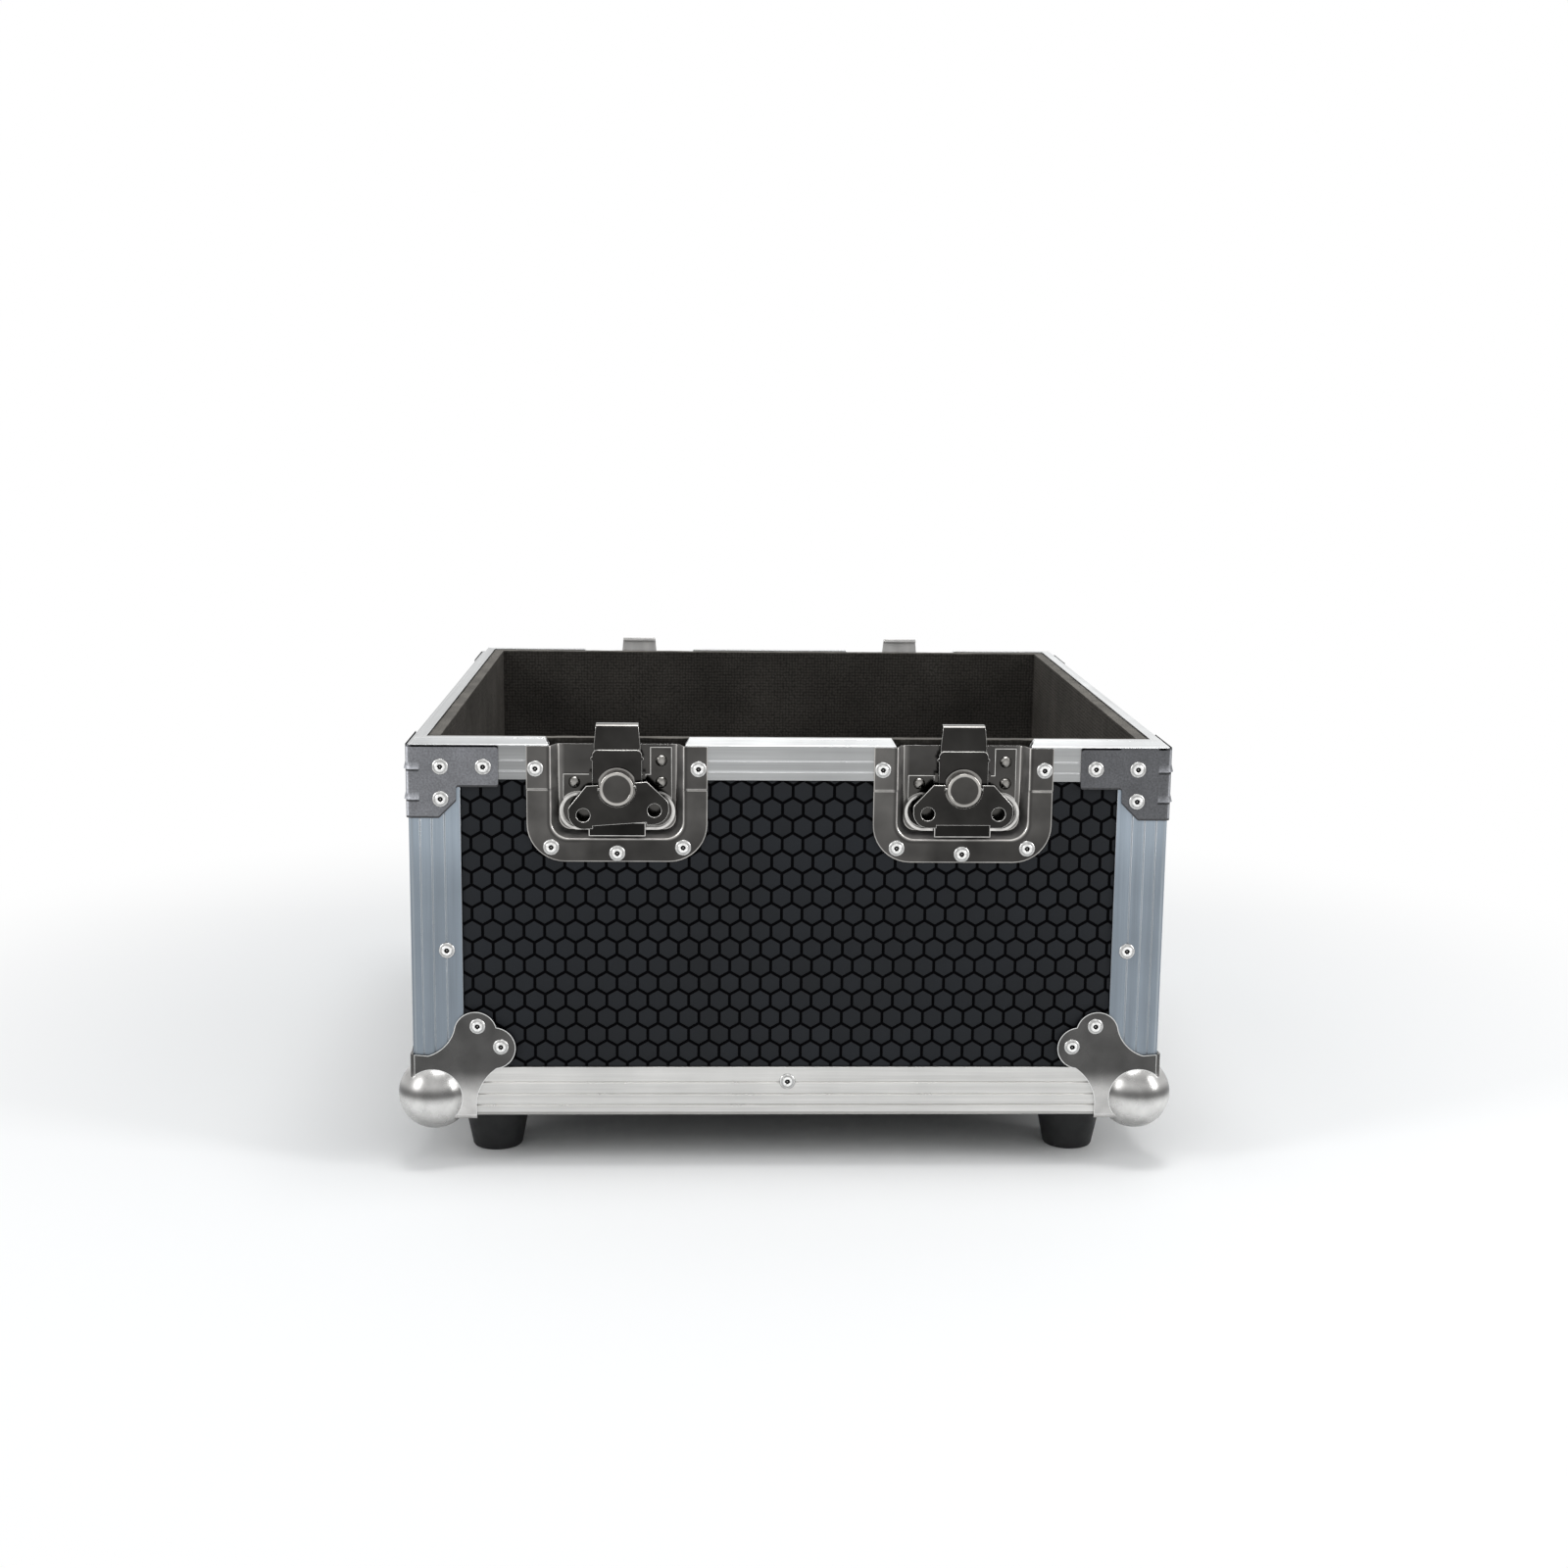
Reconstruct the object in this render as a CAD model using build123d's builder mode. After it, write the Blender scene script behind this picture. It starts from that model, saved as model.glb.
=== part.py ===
from build123d import *
import math
import os

os.makedirs("parts", exist_ok=True)

# Millimetres. +Z is up, the origin is on the floor under the middle of the case,
# and the front of the case faces -Y.

# The open base of the case
case_width = 440.0  # outside of the edge extrusions, left to right
case_depth = 440.0  # front to back
base_height = 222.0  # underside to the rim's shoulder, where the lid would sit
foot_height = 32.0

# Aluminium edge extrusions and the plywood that they hold
edge_leg = 30.0
edge_inner_leg = 20.0
edge_skin = 1.6
edge_round = 3.0
panel_slot = 7.0
slot_floor = 9.6
slot_play = 0.1
rim_leg = 20.0
rim_inner_leg = 12.0
rim_ledge = 2.2
rim_slope = 2.2
tongue_rise = 3.5
tongue_end_slope = 2.3
groove_width = 0.8
groove_depth = 0.4
edge_grooves = (6.8, 13.5, 20.8)
rim_grooves = (8.7, 15.0)
laminate_relief = 0.4  # height of the raised pattern on the plywood's outer face

# Foam lining
wall_foam = 7.2
floor_foam = 10.0
foam_below_tongue = 0.6

# Blind rivets
rivet_head = 9.5
rivet_head_height = 1.5
rivet_shank = 4.8
rivet_hole_play = 0.1
rivet_mandrel = 2.0
rivet_mandrel_depth = 1.1
rivet_tail_gap = 0.7
post_rivet_inset = 21.0
post_rivet_height = 100.7
edge_rivet_height = 21.2

# Corner brackets round the top of each corner post
bracket_sheet = 1.2
bracket_arm = 52.0
bracket_arm_height = 23.2
bracket_leg = 27.8
bracket_height = 41.4
bracket_cut_corner = 9.9
bracket_rivets = ((18.9, 12.6), (43.4, 12.6), (18.9, 31.4))

# Ball corners
ball_radius = 21.5
ball_inset = 11.5
ball_sheet = 1.5
ball_edge_round = 2.5
upright_leg_ends = (38.2, 37.3)
upright_waists = ((9.1, 37.4), (37.2, 9.1))
upright_hollows = ((20.0, 44.6), (41.2, 21.0))
upright_lobes = ((36.9, 51.4), (47.7, 42.0))
level_leg_ends = (37.3, 37.3)
level_waists = ((9.1, 37.2), (37.2, 9.1))
level_hollows = ((18.8, 41.2), (41.2, 18.8))
level_lobes = ((36.9, 47.7), (47.7, 36.9))
lobe_radius = 12.6
lobe_start = 173.0
ball_rivets = ((38.2, 55.3), (51.7, 42.8))

# Rubber feet
foot_inset = 45.0
foot_top = 42.0
foot_bottom = 30.0
foot_bottom_round = 1.5
foot_counterbore = 16.0
foot_counterbore_depth = 19.0
foot_screw = 5.0
foot_screw_head = 10.0
foot_screw_head_height = 3.6
foot_screw_bite = 6.0
screw_play = 0.25
washer_size = 15.0
washer_thickness = 1.5
washer_play = 0.05

# Recessed twist latches, two in front and two behind
latch_inset = 120.0  # from the side of the case to the middle of a latch
dish_width = 104.0
dish_drop = 68.2
dish_corner = 22.0
dish_sheet = 1.0
dish_opening = 76.0
dish_opening_drop = 54.3
dish_opening_corner = 9.5
dish_floor_depth = 8.8
dish_draft = 3.9
dish_top_drop = 0.5
dish_step_drop = 25.0
dish_step_run = 1.6
dish_cut_play = 0.3
dish_rivets_high = ((46.8, 13.5),)
dish_rivets_low = ((38.1, 59.8), (0.0, 63.2))

latch_plate = 1.2
tray_half_width = 33.4
tray_drop = 39.3
tray_radius = 10.8
tray_wall = 1.4
tray_height = 3.2
latch_tab_inner = 18.9
latch_tab_outer = 31.4
latch_tab_drop = 17.9
latch_high_tab_drop = 2.0
guide_play = 0.35
guide_thickness = 1.6
guide_height = 4.6
guide_drop = (16.0, 27.0)
ledge_half_width = 16.3
ledge_drop = (45.1, 53.0)
ledge_depth = (-0.2, 1.2)
plate_rivets = ((25.3, -10.0), (25.3, -22.7), (-24.9, -22.8))
plate_rivet_head = 7.0
plate_rivet_head_height = 2.2
plate_rivet_shank = 3.0

# Each wing key turns a hub, whose eccentric lifts the hook
hub_drop = 24.5
hub_shaft_radius = 4.0
shaft_play = 0.06
shaft_end_play = 0.05
eccentric_radius = 6.0
hook_travel = 9.0
hub_collar_radius = 11.6
hub_collar_depth = (-0.9, 0.7)
hub_flat = 10.3
hub_body_radius = 9.8
hub_cap_radius = 9.9
hub_cap_height = 1.0
hub_front = 6.0
hub_face_radius = 8.0
hub_face_recess = 0.4

hook_cover_depth = 1.0
hook_cover_sheet = 1.0
hook_sheet = 2.0
hook_top_width = 24.2
hook_width = 26.6
hook_height = 12.0
hook_bend = 3.0
hook_lip = 6.0
hook_bottom_drop = 40.9
hook_cover_width = 28.5
hook_cover_drop = 3.0
hook_cover_bottom_drop = 34.0
hook_cover_round = 3.0
hook_nub_radius = 1.0
hook_nub_drop = 8.0
window_play = 0.3
window_slack = 1.25

wing_sheet = 1.6
wing_depth = -2.2
wing_half_width = 29.0
wing_shoulder = (17.5, 2.6)
wing_slope_drop = 9.8
wing_ear_bottom = 22.7
wing_ear_round = 9.0
wing_slope_round = 4.0
wing_notch_half_width = 15.4
wing_notch = 1.6
wing_hole_radius = 3.9
wing_hole_place = (20.5, -14.4)
wing_clear_radius = 10.9
wing_edge_round = 0.4
trunnion_radius = 0.8
trunnion_play = 0.08
trunnion_reach = 8.6
trunnion_end_play = 0.2
front_left_key_turn = 4.2  # degrees that this key stands turned at rest

# Recessed drop handles, one on each side
handle_width = 152.0
handle_height = 106.0
handle_corner = 12.0
handle_opening = 124.0
handle_opening_height = 78.0
handle_opening_corner = 9.0
handle_floor_depth = 12.8
handle_draft = 3.0
handle_rivets = ((69.0, 46.0), (69.0, 0.0), (23.0, 46.0))
bail_rod = 8.0
bail_half_width = 46.0
bail_axis_rise = 27.0
bail_axis_depth = 6.0
bail_drop = 49.0
bail_bend = 12.0
bail_ear_gap = 0.4
bail_ear = 3.0
bail_ear_width = 13.0
bail_trunnion = 5.6
bail_play = 0.06
grip_radius = 6.5
grip_length = 60.0
grip_round = 2.0

underside = foot_height
shoulder = underside + base_height
wall_thickness = 2 * edge_skin + panel_slot
panel_thickness = panel_slot - 2 * slot_play
panel_front = edge_skin + slot_play
panel_back = panel_front + panel_thickness
foam_front = wall_thickness + slot_play
foam_back = foam_front + wall_foam
dish_seat = panel_front - laminate_relief
hook_front = hook_cover_depth + hook_cover_sheet
hook_back = hook_front + hook_sheet
plate_front = dish_floor_depth - latch_plate
tray_front = plate_front - tray_height
offset_of_eccentric = hook_travel / 2
clear_hole = (rivet_shank + rivet_hole_play) / 2
handle_drop = rim_leg + (base_height - rim_leg - edge_leg) / 2
latch_reach = case_width / 2 - latch_inset
latch_places = (-latch_reach, latch_reach)


# A wall's plane has its origin on the outer face at the middle of the rim's shoulder.
# Its x runs to the right and its y up, as seen from outside, and its normal outward.
def wall_plane(x, y, turn):
    facing = (math.sin(math.radians(turn)), -math.cos(math.radians(turn)), 0)
    along = (math.cos(math.radians(turn)), math.sin(math.radians(turn)), 0)
    return Plane(origin=(x, y, shoulder), x_dir=along, z_dir=facing)


walls = {
    "front": (wall_plane(0, -case_depth / 2, 0), case_width),
    "right": (wall_plane(case_width / 2, 0, 90), case_depth),
    "back": (wall_plane(0, case_depth / 2, 180), case_width),
    "left": (wall_plane(-case_width / 2, 0, 270), case_depth),
}


# A corner's plane lies level, with its origin on the outer corner and x and y inward.
def corner_plane(x, y, turn, z):
    along = (math.cos(math.radians(turn)), math.sin(math.radians(turn)), 0)
    return Plane(origin=(x, y, z), x_dir=along, z_dir=(0, 0, 1))


corners = {
    "front_left": (-case_width / 2, -case_depth / 2, 0, ("front", "left")),
    "front_right": (case_width / 2, -case_depth / 2, 90, ("right", "front")),
    "back_right": (case_width / 2, case_depth / 2, 180, ("back", "right")),
    "back_left": (-case_width / 2, case_depth / 2, 270, ("left", "back")),
}
foot_places = [
    (sx * (case_width / 2 - foot_inset), sy * (case_depth / 2 - foot_inset))
    for sx in (-1, 1)
    for sy in (-1, 1)
]


def at_depth(face, depth):
    """A wall's plane moved inward."""
    return face.offset(-depth)


def moved_on(face, u, v):
    """A wall's plane with its origin moved along the wall and up."""
    return Plane(face.from_local_coords((u, v, 0)), x_dir=face.x_dir, z_dir=face.z_dir)


def across(face, u=0.0, v=0.0):
    """The plane of a wall's cross-section: x runs inward, y up and the normal along the wall."""
    return Plane(face.from_local_coords((u, v, 0)), x_dir=-face.z_dir, z_dir=face.x_dir)


def save(builder, name):
    builder.part.label = name
    export_step(builder.part, f"parts/{name}.step")


def both_sides(points):
    """Points given for the right half, with their mirror images on the left."""
    return [(side * x, y) for x, y in points for side in ((-1, 1) if x else (1,))]


# Where the rivets go, wall by wall: places on the wall's plane and the depth they seat at.
def rivet_spots(name, length):
    half = length / 2
    spots = [
        (both_sides([(half - u, -v) for u, v in bracket_rivets]), -bracket_sheet),
        (both_sides([(half - u, v - base_height) for u, v in ball_rivets]), -ball_sheet),
        (both_sides([(half - post_rivet_inset, post_rivet_height - base_height)]), 0.0),
        ([(0.0, edge_rivet_height - base_height)], 0.0),
    ]
    if name in ("front", "back"):
        high = [(x, -y) for x, y in dish_rivets_high]
        low = [(x, -y) for x, y in dish_rivets_low]
        for place in latch_places:
            spots.append(([(place + x, y) for x, y in both_sides(high)], -dish_sheet))
            spots.append(([(place + x, y) for x, y in both_sides(low)], dish_seat - dish_sheet))
    else:
        mirrored = [(x, y) for x, y in handle_rivets] + [(x, -y) for x, y in handle_rivets if y]
        around = [(x, y - handle_drop) for x, y in both_sides(mirrored)]
        spots.append((around, dish_seat - dish_sheet))
    return spots


def drill(face, spots, radius, start, end):
    """Holes square to a wall, from one depth to another, in the piece being made."""
    with BuildSketch(at_depth(face, end)) as holes:
        with Locations(*spots):
            Circle(radius)
    extrude(holes.sketch, amount=end - start, mode=Mode.SUBTRACT)


def drill_rivets(name, reach=None):
    """A wall's rivet holes, or those of them within reach of a place along the wall."""
    face, length = walls[name]
    spots = [spot for places, seat in rivet_spots(name, length) for spot in places]
    if reach:
        spots = [spot for spot in spots if abs(spot[0] - reach[0]) < reach[1]]
    drill(face, spots, clear_hole, -edge_leg, foam_front)


def latch_cut(face, depth, thickness):
    """The openings that the latch dishes drop into, cut through a wall piece."""
    half = dish_opening / 2 + dish_sheet + dish_cut_play
    drop = dish_opening_drop + dish_sheet + dish_cut_play
    with BuildSketch(at_depth(face, depth)) as cut:
        for place in latch_places:
            with Locations((place, -drop / 2 + drop)):
                outline = Rectangle(2 * half, 3 * drop)
        fillet(cut.vertices().group_by(Axis.Y)[0], dish_opening_corner + dish_sheet)
    extrude(cut.sketch, amount=thickness, mode=Mode.SUBTRACT)


# Plywood panels, which slide into the slots of the extrusions
for name, (face, length) in walls.items():
    panel_length = length - 2 * (slot_floor + slot_play)
    top = -edge_skin - slot_play
    bottom = slot_floor + slot_play - base_height
    with BuildPart() as panel:
        with BuildSketch(at_depth(face, panel_back)):
            with Locations((0, (top + bottom) / 2)):
                Rectangle(panel_length, top - bottom)
        extrude(amount=panel_thickness)
        drill_rivets(name)
        if name in ("front", "back"):
            latch_cut(face, panel_back, panel_thickness)
        else:
            with BuildSketch(at_depth(moved_on(face, 0, -handle_drop), panel_back)):
                RectangleRounded(
                    handle_opening + 2 * (dish_sheet + dish_cut_play),
                    handle_opening_height + 2 * (dish_sheet + dish_cut_play),
                    handle_opening_corner,
                )
            extrude(amount=panel_thickness, mode=Mode.SUBTRACT)
    save(panel, f"{name}_panel")

with BuildPart() as bottom_panel:
    with BuildSketch(Plane.XY.offset(underside + panel_front)):
        Rectangle(
            case_width - 2 * (slot_floor + slot_play), case_depth - 2 * (slot_floor + slot_play)
        )
        with Locations(*foot_places):
            Circle(foot_screw / 2 + screw_play, mode=Mode.SUBTRACT)
    extrude(amount=panel_thickness)
save(bottom_panel, "bottom_panel")


def double_angle(plane):
    """Section of the edge extrusion, with its outer corner at the origin and legs on x and y."""
    inner = edge_skin + panel_slot
    with BuildSketch(plane) as section:
        with BuildLine():
            Polyline(
                (0, 0),
                (edge_leg, 0),
                (edge_leg, edge_skin),
                (edge_skin, edge_skin),
                (edge_skin, edge_leg),
                (0, edge_leg),
                close=True,
            )
        make_face()
        fillet(section.vertices().sort_by_distance((0, 0, 0))[0], edge_round)
        with BuildLine():
            Polyline(
                (inner, inner),
                (edge_inner_leg, inner),
                (edge_inner_leg, wall_thickness),
                (wall_thickness, wall_thickness),
                (wall_thickness, edge_inner_leg),
                (inner, edge_inner_leg),
                close=True,
            )
        make_face()
        with Locations((slot_floor - edge_skin / 2, wall_thickness / 2)):
            Rectangle(edge_skin, wall_thickness - edge_skin)
        with Locations((wall_thickness / 2, slot_floor - edge_skin / 2)):
            Rectangle(wall_thickness - edge_skin, edge_skin)
        for groove in edge_grooves:
            with Locations((groove, 0), (0, groove)):
                Rectangle(groove_width, 2 * groove_depth, mode=Mode.SUBTRACT)
                Rectangle(2 * groove_depth, groove_width, mode=Mode.SUBTRACT)
    return section.sketch


def mitre(face, length):
    """Cuts both ends of a wall's extrusion at 45 degrees, where it meets its neighbours."""
    for end in (-1, 1):
        corner = face.from_local_coords((end * length / 2, 0, 0))
        cut = Plane(corner, z_dir=face.x_dir * end - face.z_dir)
        split(bisect_by=cut, keep=Keep.BOTTOM)


# Corner posts, from the bottom edges up to the rim
for name, (x, y, turn, sides) in corners.items():
    with BuildPart() as post:
        foot_of_post = corner_plane(x, y, turn, underside + edge_leg)
        extrude(double_angle(foot_of_post), amount=base_height - edge_leg - rim_leg)
        for side in sides:
            face, length = walls[side]
            end = length / 2 if face.to_local_coords(Vector(x, y, 0)).X > 0 else -length / 2
            drill_rivets(side, reach=(end, edge_leg + clear_hole))
    save(post, f"corner_post_{name}")

# Bottom edges
for name, (face, length) in walls.items():
    with BuildPart() as bottom_edge:
        extrude(double_angle(across(face, 0, -base_height)), amount=length / 2, both=True)
        mitre(face, length)
        drill_rivets(name, reach=(0, edge_leg))
    save(bottom_edge, f"bottom_edge_{name}")

# The rim, whose tongue the lid drops over, cut away where the latch dishes come up
for name, (face, length) in walls.items():
    inner = wall_thickness - edge_skin
    crest = rim_ledge + rim_slope
    with BuildPart() as rim:
        with BuildSketch(across(face)):
            with BuildLine():
                Polyline(
                    (0, -rim_leg),
                    (0, 0),
                    (rim_ledge, 0),
                    (crest, tongue_rise),
                    (wall_thickness, tongue_rise),
                    (wall_thickness, -rim_inner_leg),
                    (inner, -rim_inner_leg),
                    (inner, tongue_rise - edge_skin),
                    (crest + edge_skin / 2, tongue_rise - edge_skin),
                    (rim_ledge + edge_skin / 2, -edge_skin),
                    (edge_skin, -edge_skin),
                    (edge_skin, -rim_leg),
                    close=True,
                )
            make_face()
            for groove in rim_grooves:
                with Locations((0, -groove)):
                    Rectangle(2 * groove_depth, groove_width, mode=Mode.SUBTRACT)
        extrude(amount=length / 2, both=True)
        mitre(face, length)
        with BuildSketch(Plane.XY.offset(shoulder - rim_leg)):
            RectangleRounded(case_width, case_depth, edge_round)
        extrude(amount=rim_leg + tongue_rise, mode=Mode.INTERSECT)
        drill_rivets(name)
        if name in ("front", "back"):
            half = dish_opening / 2 + dish_sheet + dish_cut_play
            with BuildSketch(at_depth(face, foam_front)):
                with Locations(*[(place, 0) for place in latch_places]):
                    Polygon(
                        (-half, -2 * rim_leg),
                        (half, -2 * rim_leg),
                        (half, 0),
                        (half + 2 * tongue_end_slope, 2 * tongue_rise),
                        (-half - 2 * tongue_end_slope, 2 * tongue_rise),
                        (-half, 0),
                        align=None,
                    )
            extrude(amount=2 * foam_front, mode=Mode.SUBTRACT)
    save(rim, f"rim_{name}")

# Steel brackets wrapped round the top of each corner
for name, (x, y, turn, sides) in corners.items():
    plan = corner_plane(x, y, turn, shoulder)
    first_face = Plane(plan.origin, x_dir=plan.x_dir, z_dir=-plan.y_dir)
    cut_leg = bracket_leg - bracket_cut_corner
    cut_height = bracket_height - bracket_cut_corner
    with BuildPart() as bracket:
        with BuildSketch(first_face):
            with BuildLine():
                Polyline(
                    (-bracket_sheet, 0),
                    (bracket_arm, 0),
                    (bracket_arm, -bracket_arm_height),
                    (bracket_leg, -bracket_arm_height),
                    (bracket_leg, -cut_height),
                    (cut_leg, -bracket_height),
                    (-bracket_sheet, -bracket_height),
                    close=True,
                )
            make_face()
            with Locations(*[(u, -v) for u, v in bracket_rivets]):
                Circle(clear_hole, mode=Mode.SUBTRACT)
        extrude(amount=bracket_sheet)
        mirror(about=Plane(plan.origin, z_dir=plan.x_dir - plan.y_dir))
        upright = bracket.edges().filter_by(Axis.Z)
        outer = plan.from_local_coords((-bracket_sheet, -bracket_sheet, -bracket_height / 2))
        inner = plan.from_local_coords((0, 0, -bracket_height / 2))
        fillet(upright.sort_by_distance(outer)[0], edge_round + bracket_sheet - 0.3)
        upright = bracket.edges().filter_by(Axis.Z)
        fillet(upright.sort_by_distance(inner)[0], edge_round - 0.3)
    save(bracket, f"corner_bracket_{name}")


def ball_leg(plane, ends, waists, hollows, lobes, holes, hole_radius):
    """Outline of one of the three legs of a ball corner, seen square on."""
    (high_x, high_y), (low_x, low_y) = lobes
    start_angle = math.radians(lobe_start)
    reach = lobe_radius * math.cos(start_angle)
    rise = lobe_radius * math.sin(start_angle)
    start = (high_x + reach, high_y + rise)
    end = (low_x + rise, low_y + reach)
    across = low_x - high_x
    drop = high_y - low_y
    apart = math.hypot(across, drop)
    bulge = math.sqrt(lobe_radius**2 - (apart / 2) ** 2) / apart
    meet = ((high_x + low_x) / 2 + drop * bulge, (high_y + low_y) / 2 + across * bulge)
    with BuildSketch(plane) as leg:
        with BuildLine():
            Polyline(
                waists[0],
                (-ball_sheet, ends[0]),
                (-ball_sheet, -ball_sheet),
                (ends[1], -ball_sheet),
                waists[1],
            )
            ThreePointArc(waists[0], hollows[0], start)
            ThreePointArc(start, (high_x, high_y + lobe_radius), meet)
            ThreePointArc(meet, (low_x + lobe_radius, low_y), end)
            ThreePointArc(end, hollows[1], waists[1])
        make_face()
        with Locations(*holes):
            Circle(hole_radius, mode=Mode.SUBTRACT)
    return leg.sketch


# Ball corners: a pressed steel ball with a leg on each face of the corner
for name, (x, y, turn, sides) in corners.items():
    plan = corner_plane(x, y, turn, underside)
    block_size = 4 * edge_leg
    block_middle = block_size / 2 - ball_sheet
    with BuildPart() as block:
        with Locations(plan.from_local_coords((block_middle, block_middle, block_middle))):
            Box(block_size, block_size, block_size)
        outer_corner = plan.from_local_coords((-ball_sheet, -ball_sheet, -ball_sheet))
        fillet(block.edges().sort_by_distance(outer_corner)[:3], ball_edge_round)
    with BuildPart() as ball_corner:
        upright_leg = ball_leg(
            Plane(plan.origin, x_dir=plan.x_dir, z_dir=-plan.y_dir),
            upright_leg_ends,
            upright_waists,
            upright_hollows,
            upright_lobes,
            ball_rivets,
            clear_hole,
        )
        extrude(upright_leg, amount=ball_sheet)
        mirror(about=Plane(plan.origin, z_dir=plan.x_dir - plan.y_dir))
        level_leg = ball_leg(
            Plane(plan.origin, x_dir=plan.y_dir, z_dir=(0, 0, -1)),
            level_leg_ends,
            level_waists,
            level_hollows,
            level_lobes,
            [(foot_inset, foot_inset)],
            foot_screw / 2 + screw_play,
        )
        extrude(level_leg, amount=ball_sheet)
        add(block.part, mode=Mode.INTERSECT)
        centre = plan.from_local_coords((ball_inset, ball_inset, ball_inset))
        with Locations(centre):
            Sphere(ball_radius)
            Sphere(ball_radius - ball_sheet, mode=Mode.SUBTRACT)
        box_size = 2 * edge_leg
        box_centre = plan.from_local_coords((box_size / 2, box_size / 2, box_size / 2))
        with Locations(box_centre):
            Box(box_size, box_size, box_size, mode=Mode.SUBTRACT)
    save(ball_corner, f"ball_corner_{name}")

# Rubber feet, with a washer and a screw in the counterbore of each
foot_top_height = underside - ball_sheet
washer_bottom = foot_counterbore_depth - washer_thickness - washer_play
with BuildPart() as feet:
    with BuildSketch(Plane.XZ):
        with BuildLine():
            Polyline(
                (0, 0),
                (foot_bottom / 2, 0),
                (foot_top / 2, foot_top_height),
                (0, foot_top_height),
                close=True,
            )
        make_face()
    revolve(axis=Axis.Z)
    rim_of_foot = feet.edges().filter_by(GeomType.CIRCLE).sort_by(Axis.Z)[0]
    fillet(rim_of_foot, foot_bottom_round)
    Hole(foot_screw / 2 + screw_play, depth=foot_height * 2)
    with BuildSketch(Plane.XY):
        Circle(foot_counterbore / 2)
    extrude(amount=foot_counterbore_depth, mode=Mode.SUBTRACT)
one_foot = feet.part
with BuildPart() as rubber_feet:
    with Locations(*[(x, y, 0) for x, y in foot_places]):
        add(one_foot)
save(rubber_feet, "rubber_feet")

with BuildPart() as foot_washers:
    with BuildSketch(Plane.XY.offset(washer_bottom)):
        with Locations(*foot_places):
            Circle(washer_size / 2)
            Circle(foot_screw / 2 + screw_play, mode=Mode.SUBTRACT)
    extrude(amount=washer_thickness)
save(foot_washers, "foot_washers")

with BuildPart() as foot_screws:
    head_top = washer_bottom - washer_play
    screw_top = underside + panel_front + foot_screw_bite
    with BuildSketch(Plane.XY.offset(head_top - foot_screw_head_height)):
        with Locations(*foot_places):
            Circle(foot_screw_head / 2)
    extrude(amount=foot_screw_head_height)
    with BuildSketch(Plane.XY.offset(head_top)):
        with Locations(*foot_places):
            Circle(foot_screw / 2)
    extrude(amount=screw_top - head_top)
save(foot_screws, "foot_screws")

# Foam lining: four walls and a floor pad
foam_top = tongue_rise - foam_below_tongue
foam_bottom = wall_thickness + slot_play - base_height
for name, (face, length) in walls.items():
    inset = foam_front if name in ("front", "back") else foam_back + slot_play
    with BuildPart() as foam:
        with BuildSketch(at_depth(face, foam_back)):
            with Locations((0, (foam_top + foam_bottom) / 2)):
                Rectangle(length - 2 * inset, foam_top - foam_bottom)
        extrude(amount=wall_foam)
        if name in ("left", "right"):
            pocket_back = handle_floor_depth + dish_sheet + dish_cut_play
            with BuildSketch(at_depth(moved_on(face, 0, -handle_drop), pocket_back)):
                RectangleRounded(
                    handle_opening + 2 * (dish_sheet + dish_cut_play),
                    handle_opening_height + 2 * (dish_sheet + dish_cut_play),
                    handle_opening_corner,
                )
            extrude(amount=pocket_back, mode=Mode.SUBTRACT)
    save(foam, f"foam_{name}")

with BuildPart() as foam_floor:
    inset = foam_back + slot_play
    with BuildSketch(Plane.XY.offset(underside + wall_thickness + slot_play)):
        Rectangle(case_width - 2 * inset, case_depth - 2 * inset)
    extrude(amount=floor_foam)
save(foam_floor, "foam_floor")


def recess(face, width, top, bottom, corner, floor_depth, draft, grow):
    """A pressed pan that narrows towards its floor, as a solid, grown by the sheet outside."""
    start = -dish_sheet
    angle = math.degrees(math.atan2(draft, floor_depth + dish_sheet))
    inward = Plane(
        at_depth(face, start).from_local_coords((0, (top + bottom) / 2, 0)),
        x_dir=-face.x_dir,
        z_dir=-face.z_dir,
    )
    with BuildSketch(inward) as mouth:
        RectangleRounded(width + 2 * grow, top - bottom + 2 * grow, corner + grow)
    return extrude(
        mouth.sketch, amount=floor_depth + dish_sheet + grow, taper=angle, mode=Mode.PRIVATE
    )


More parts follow.
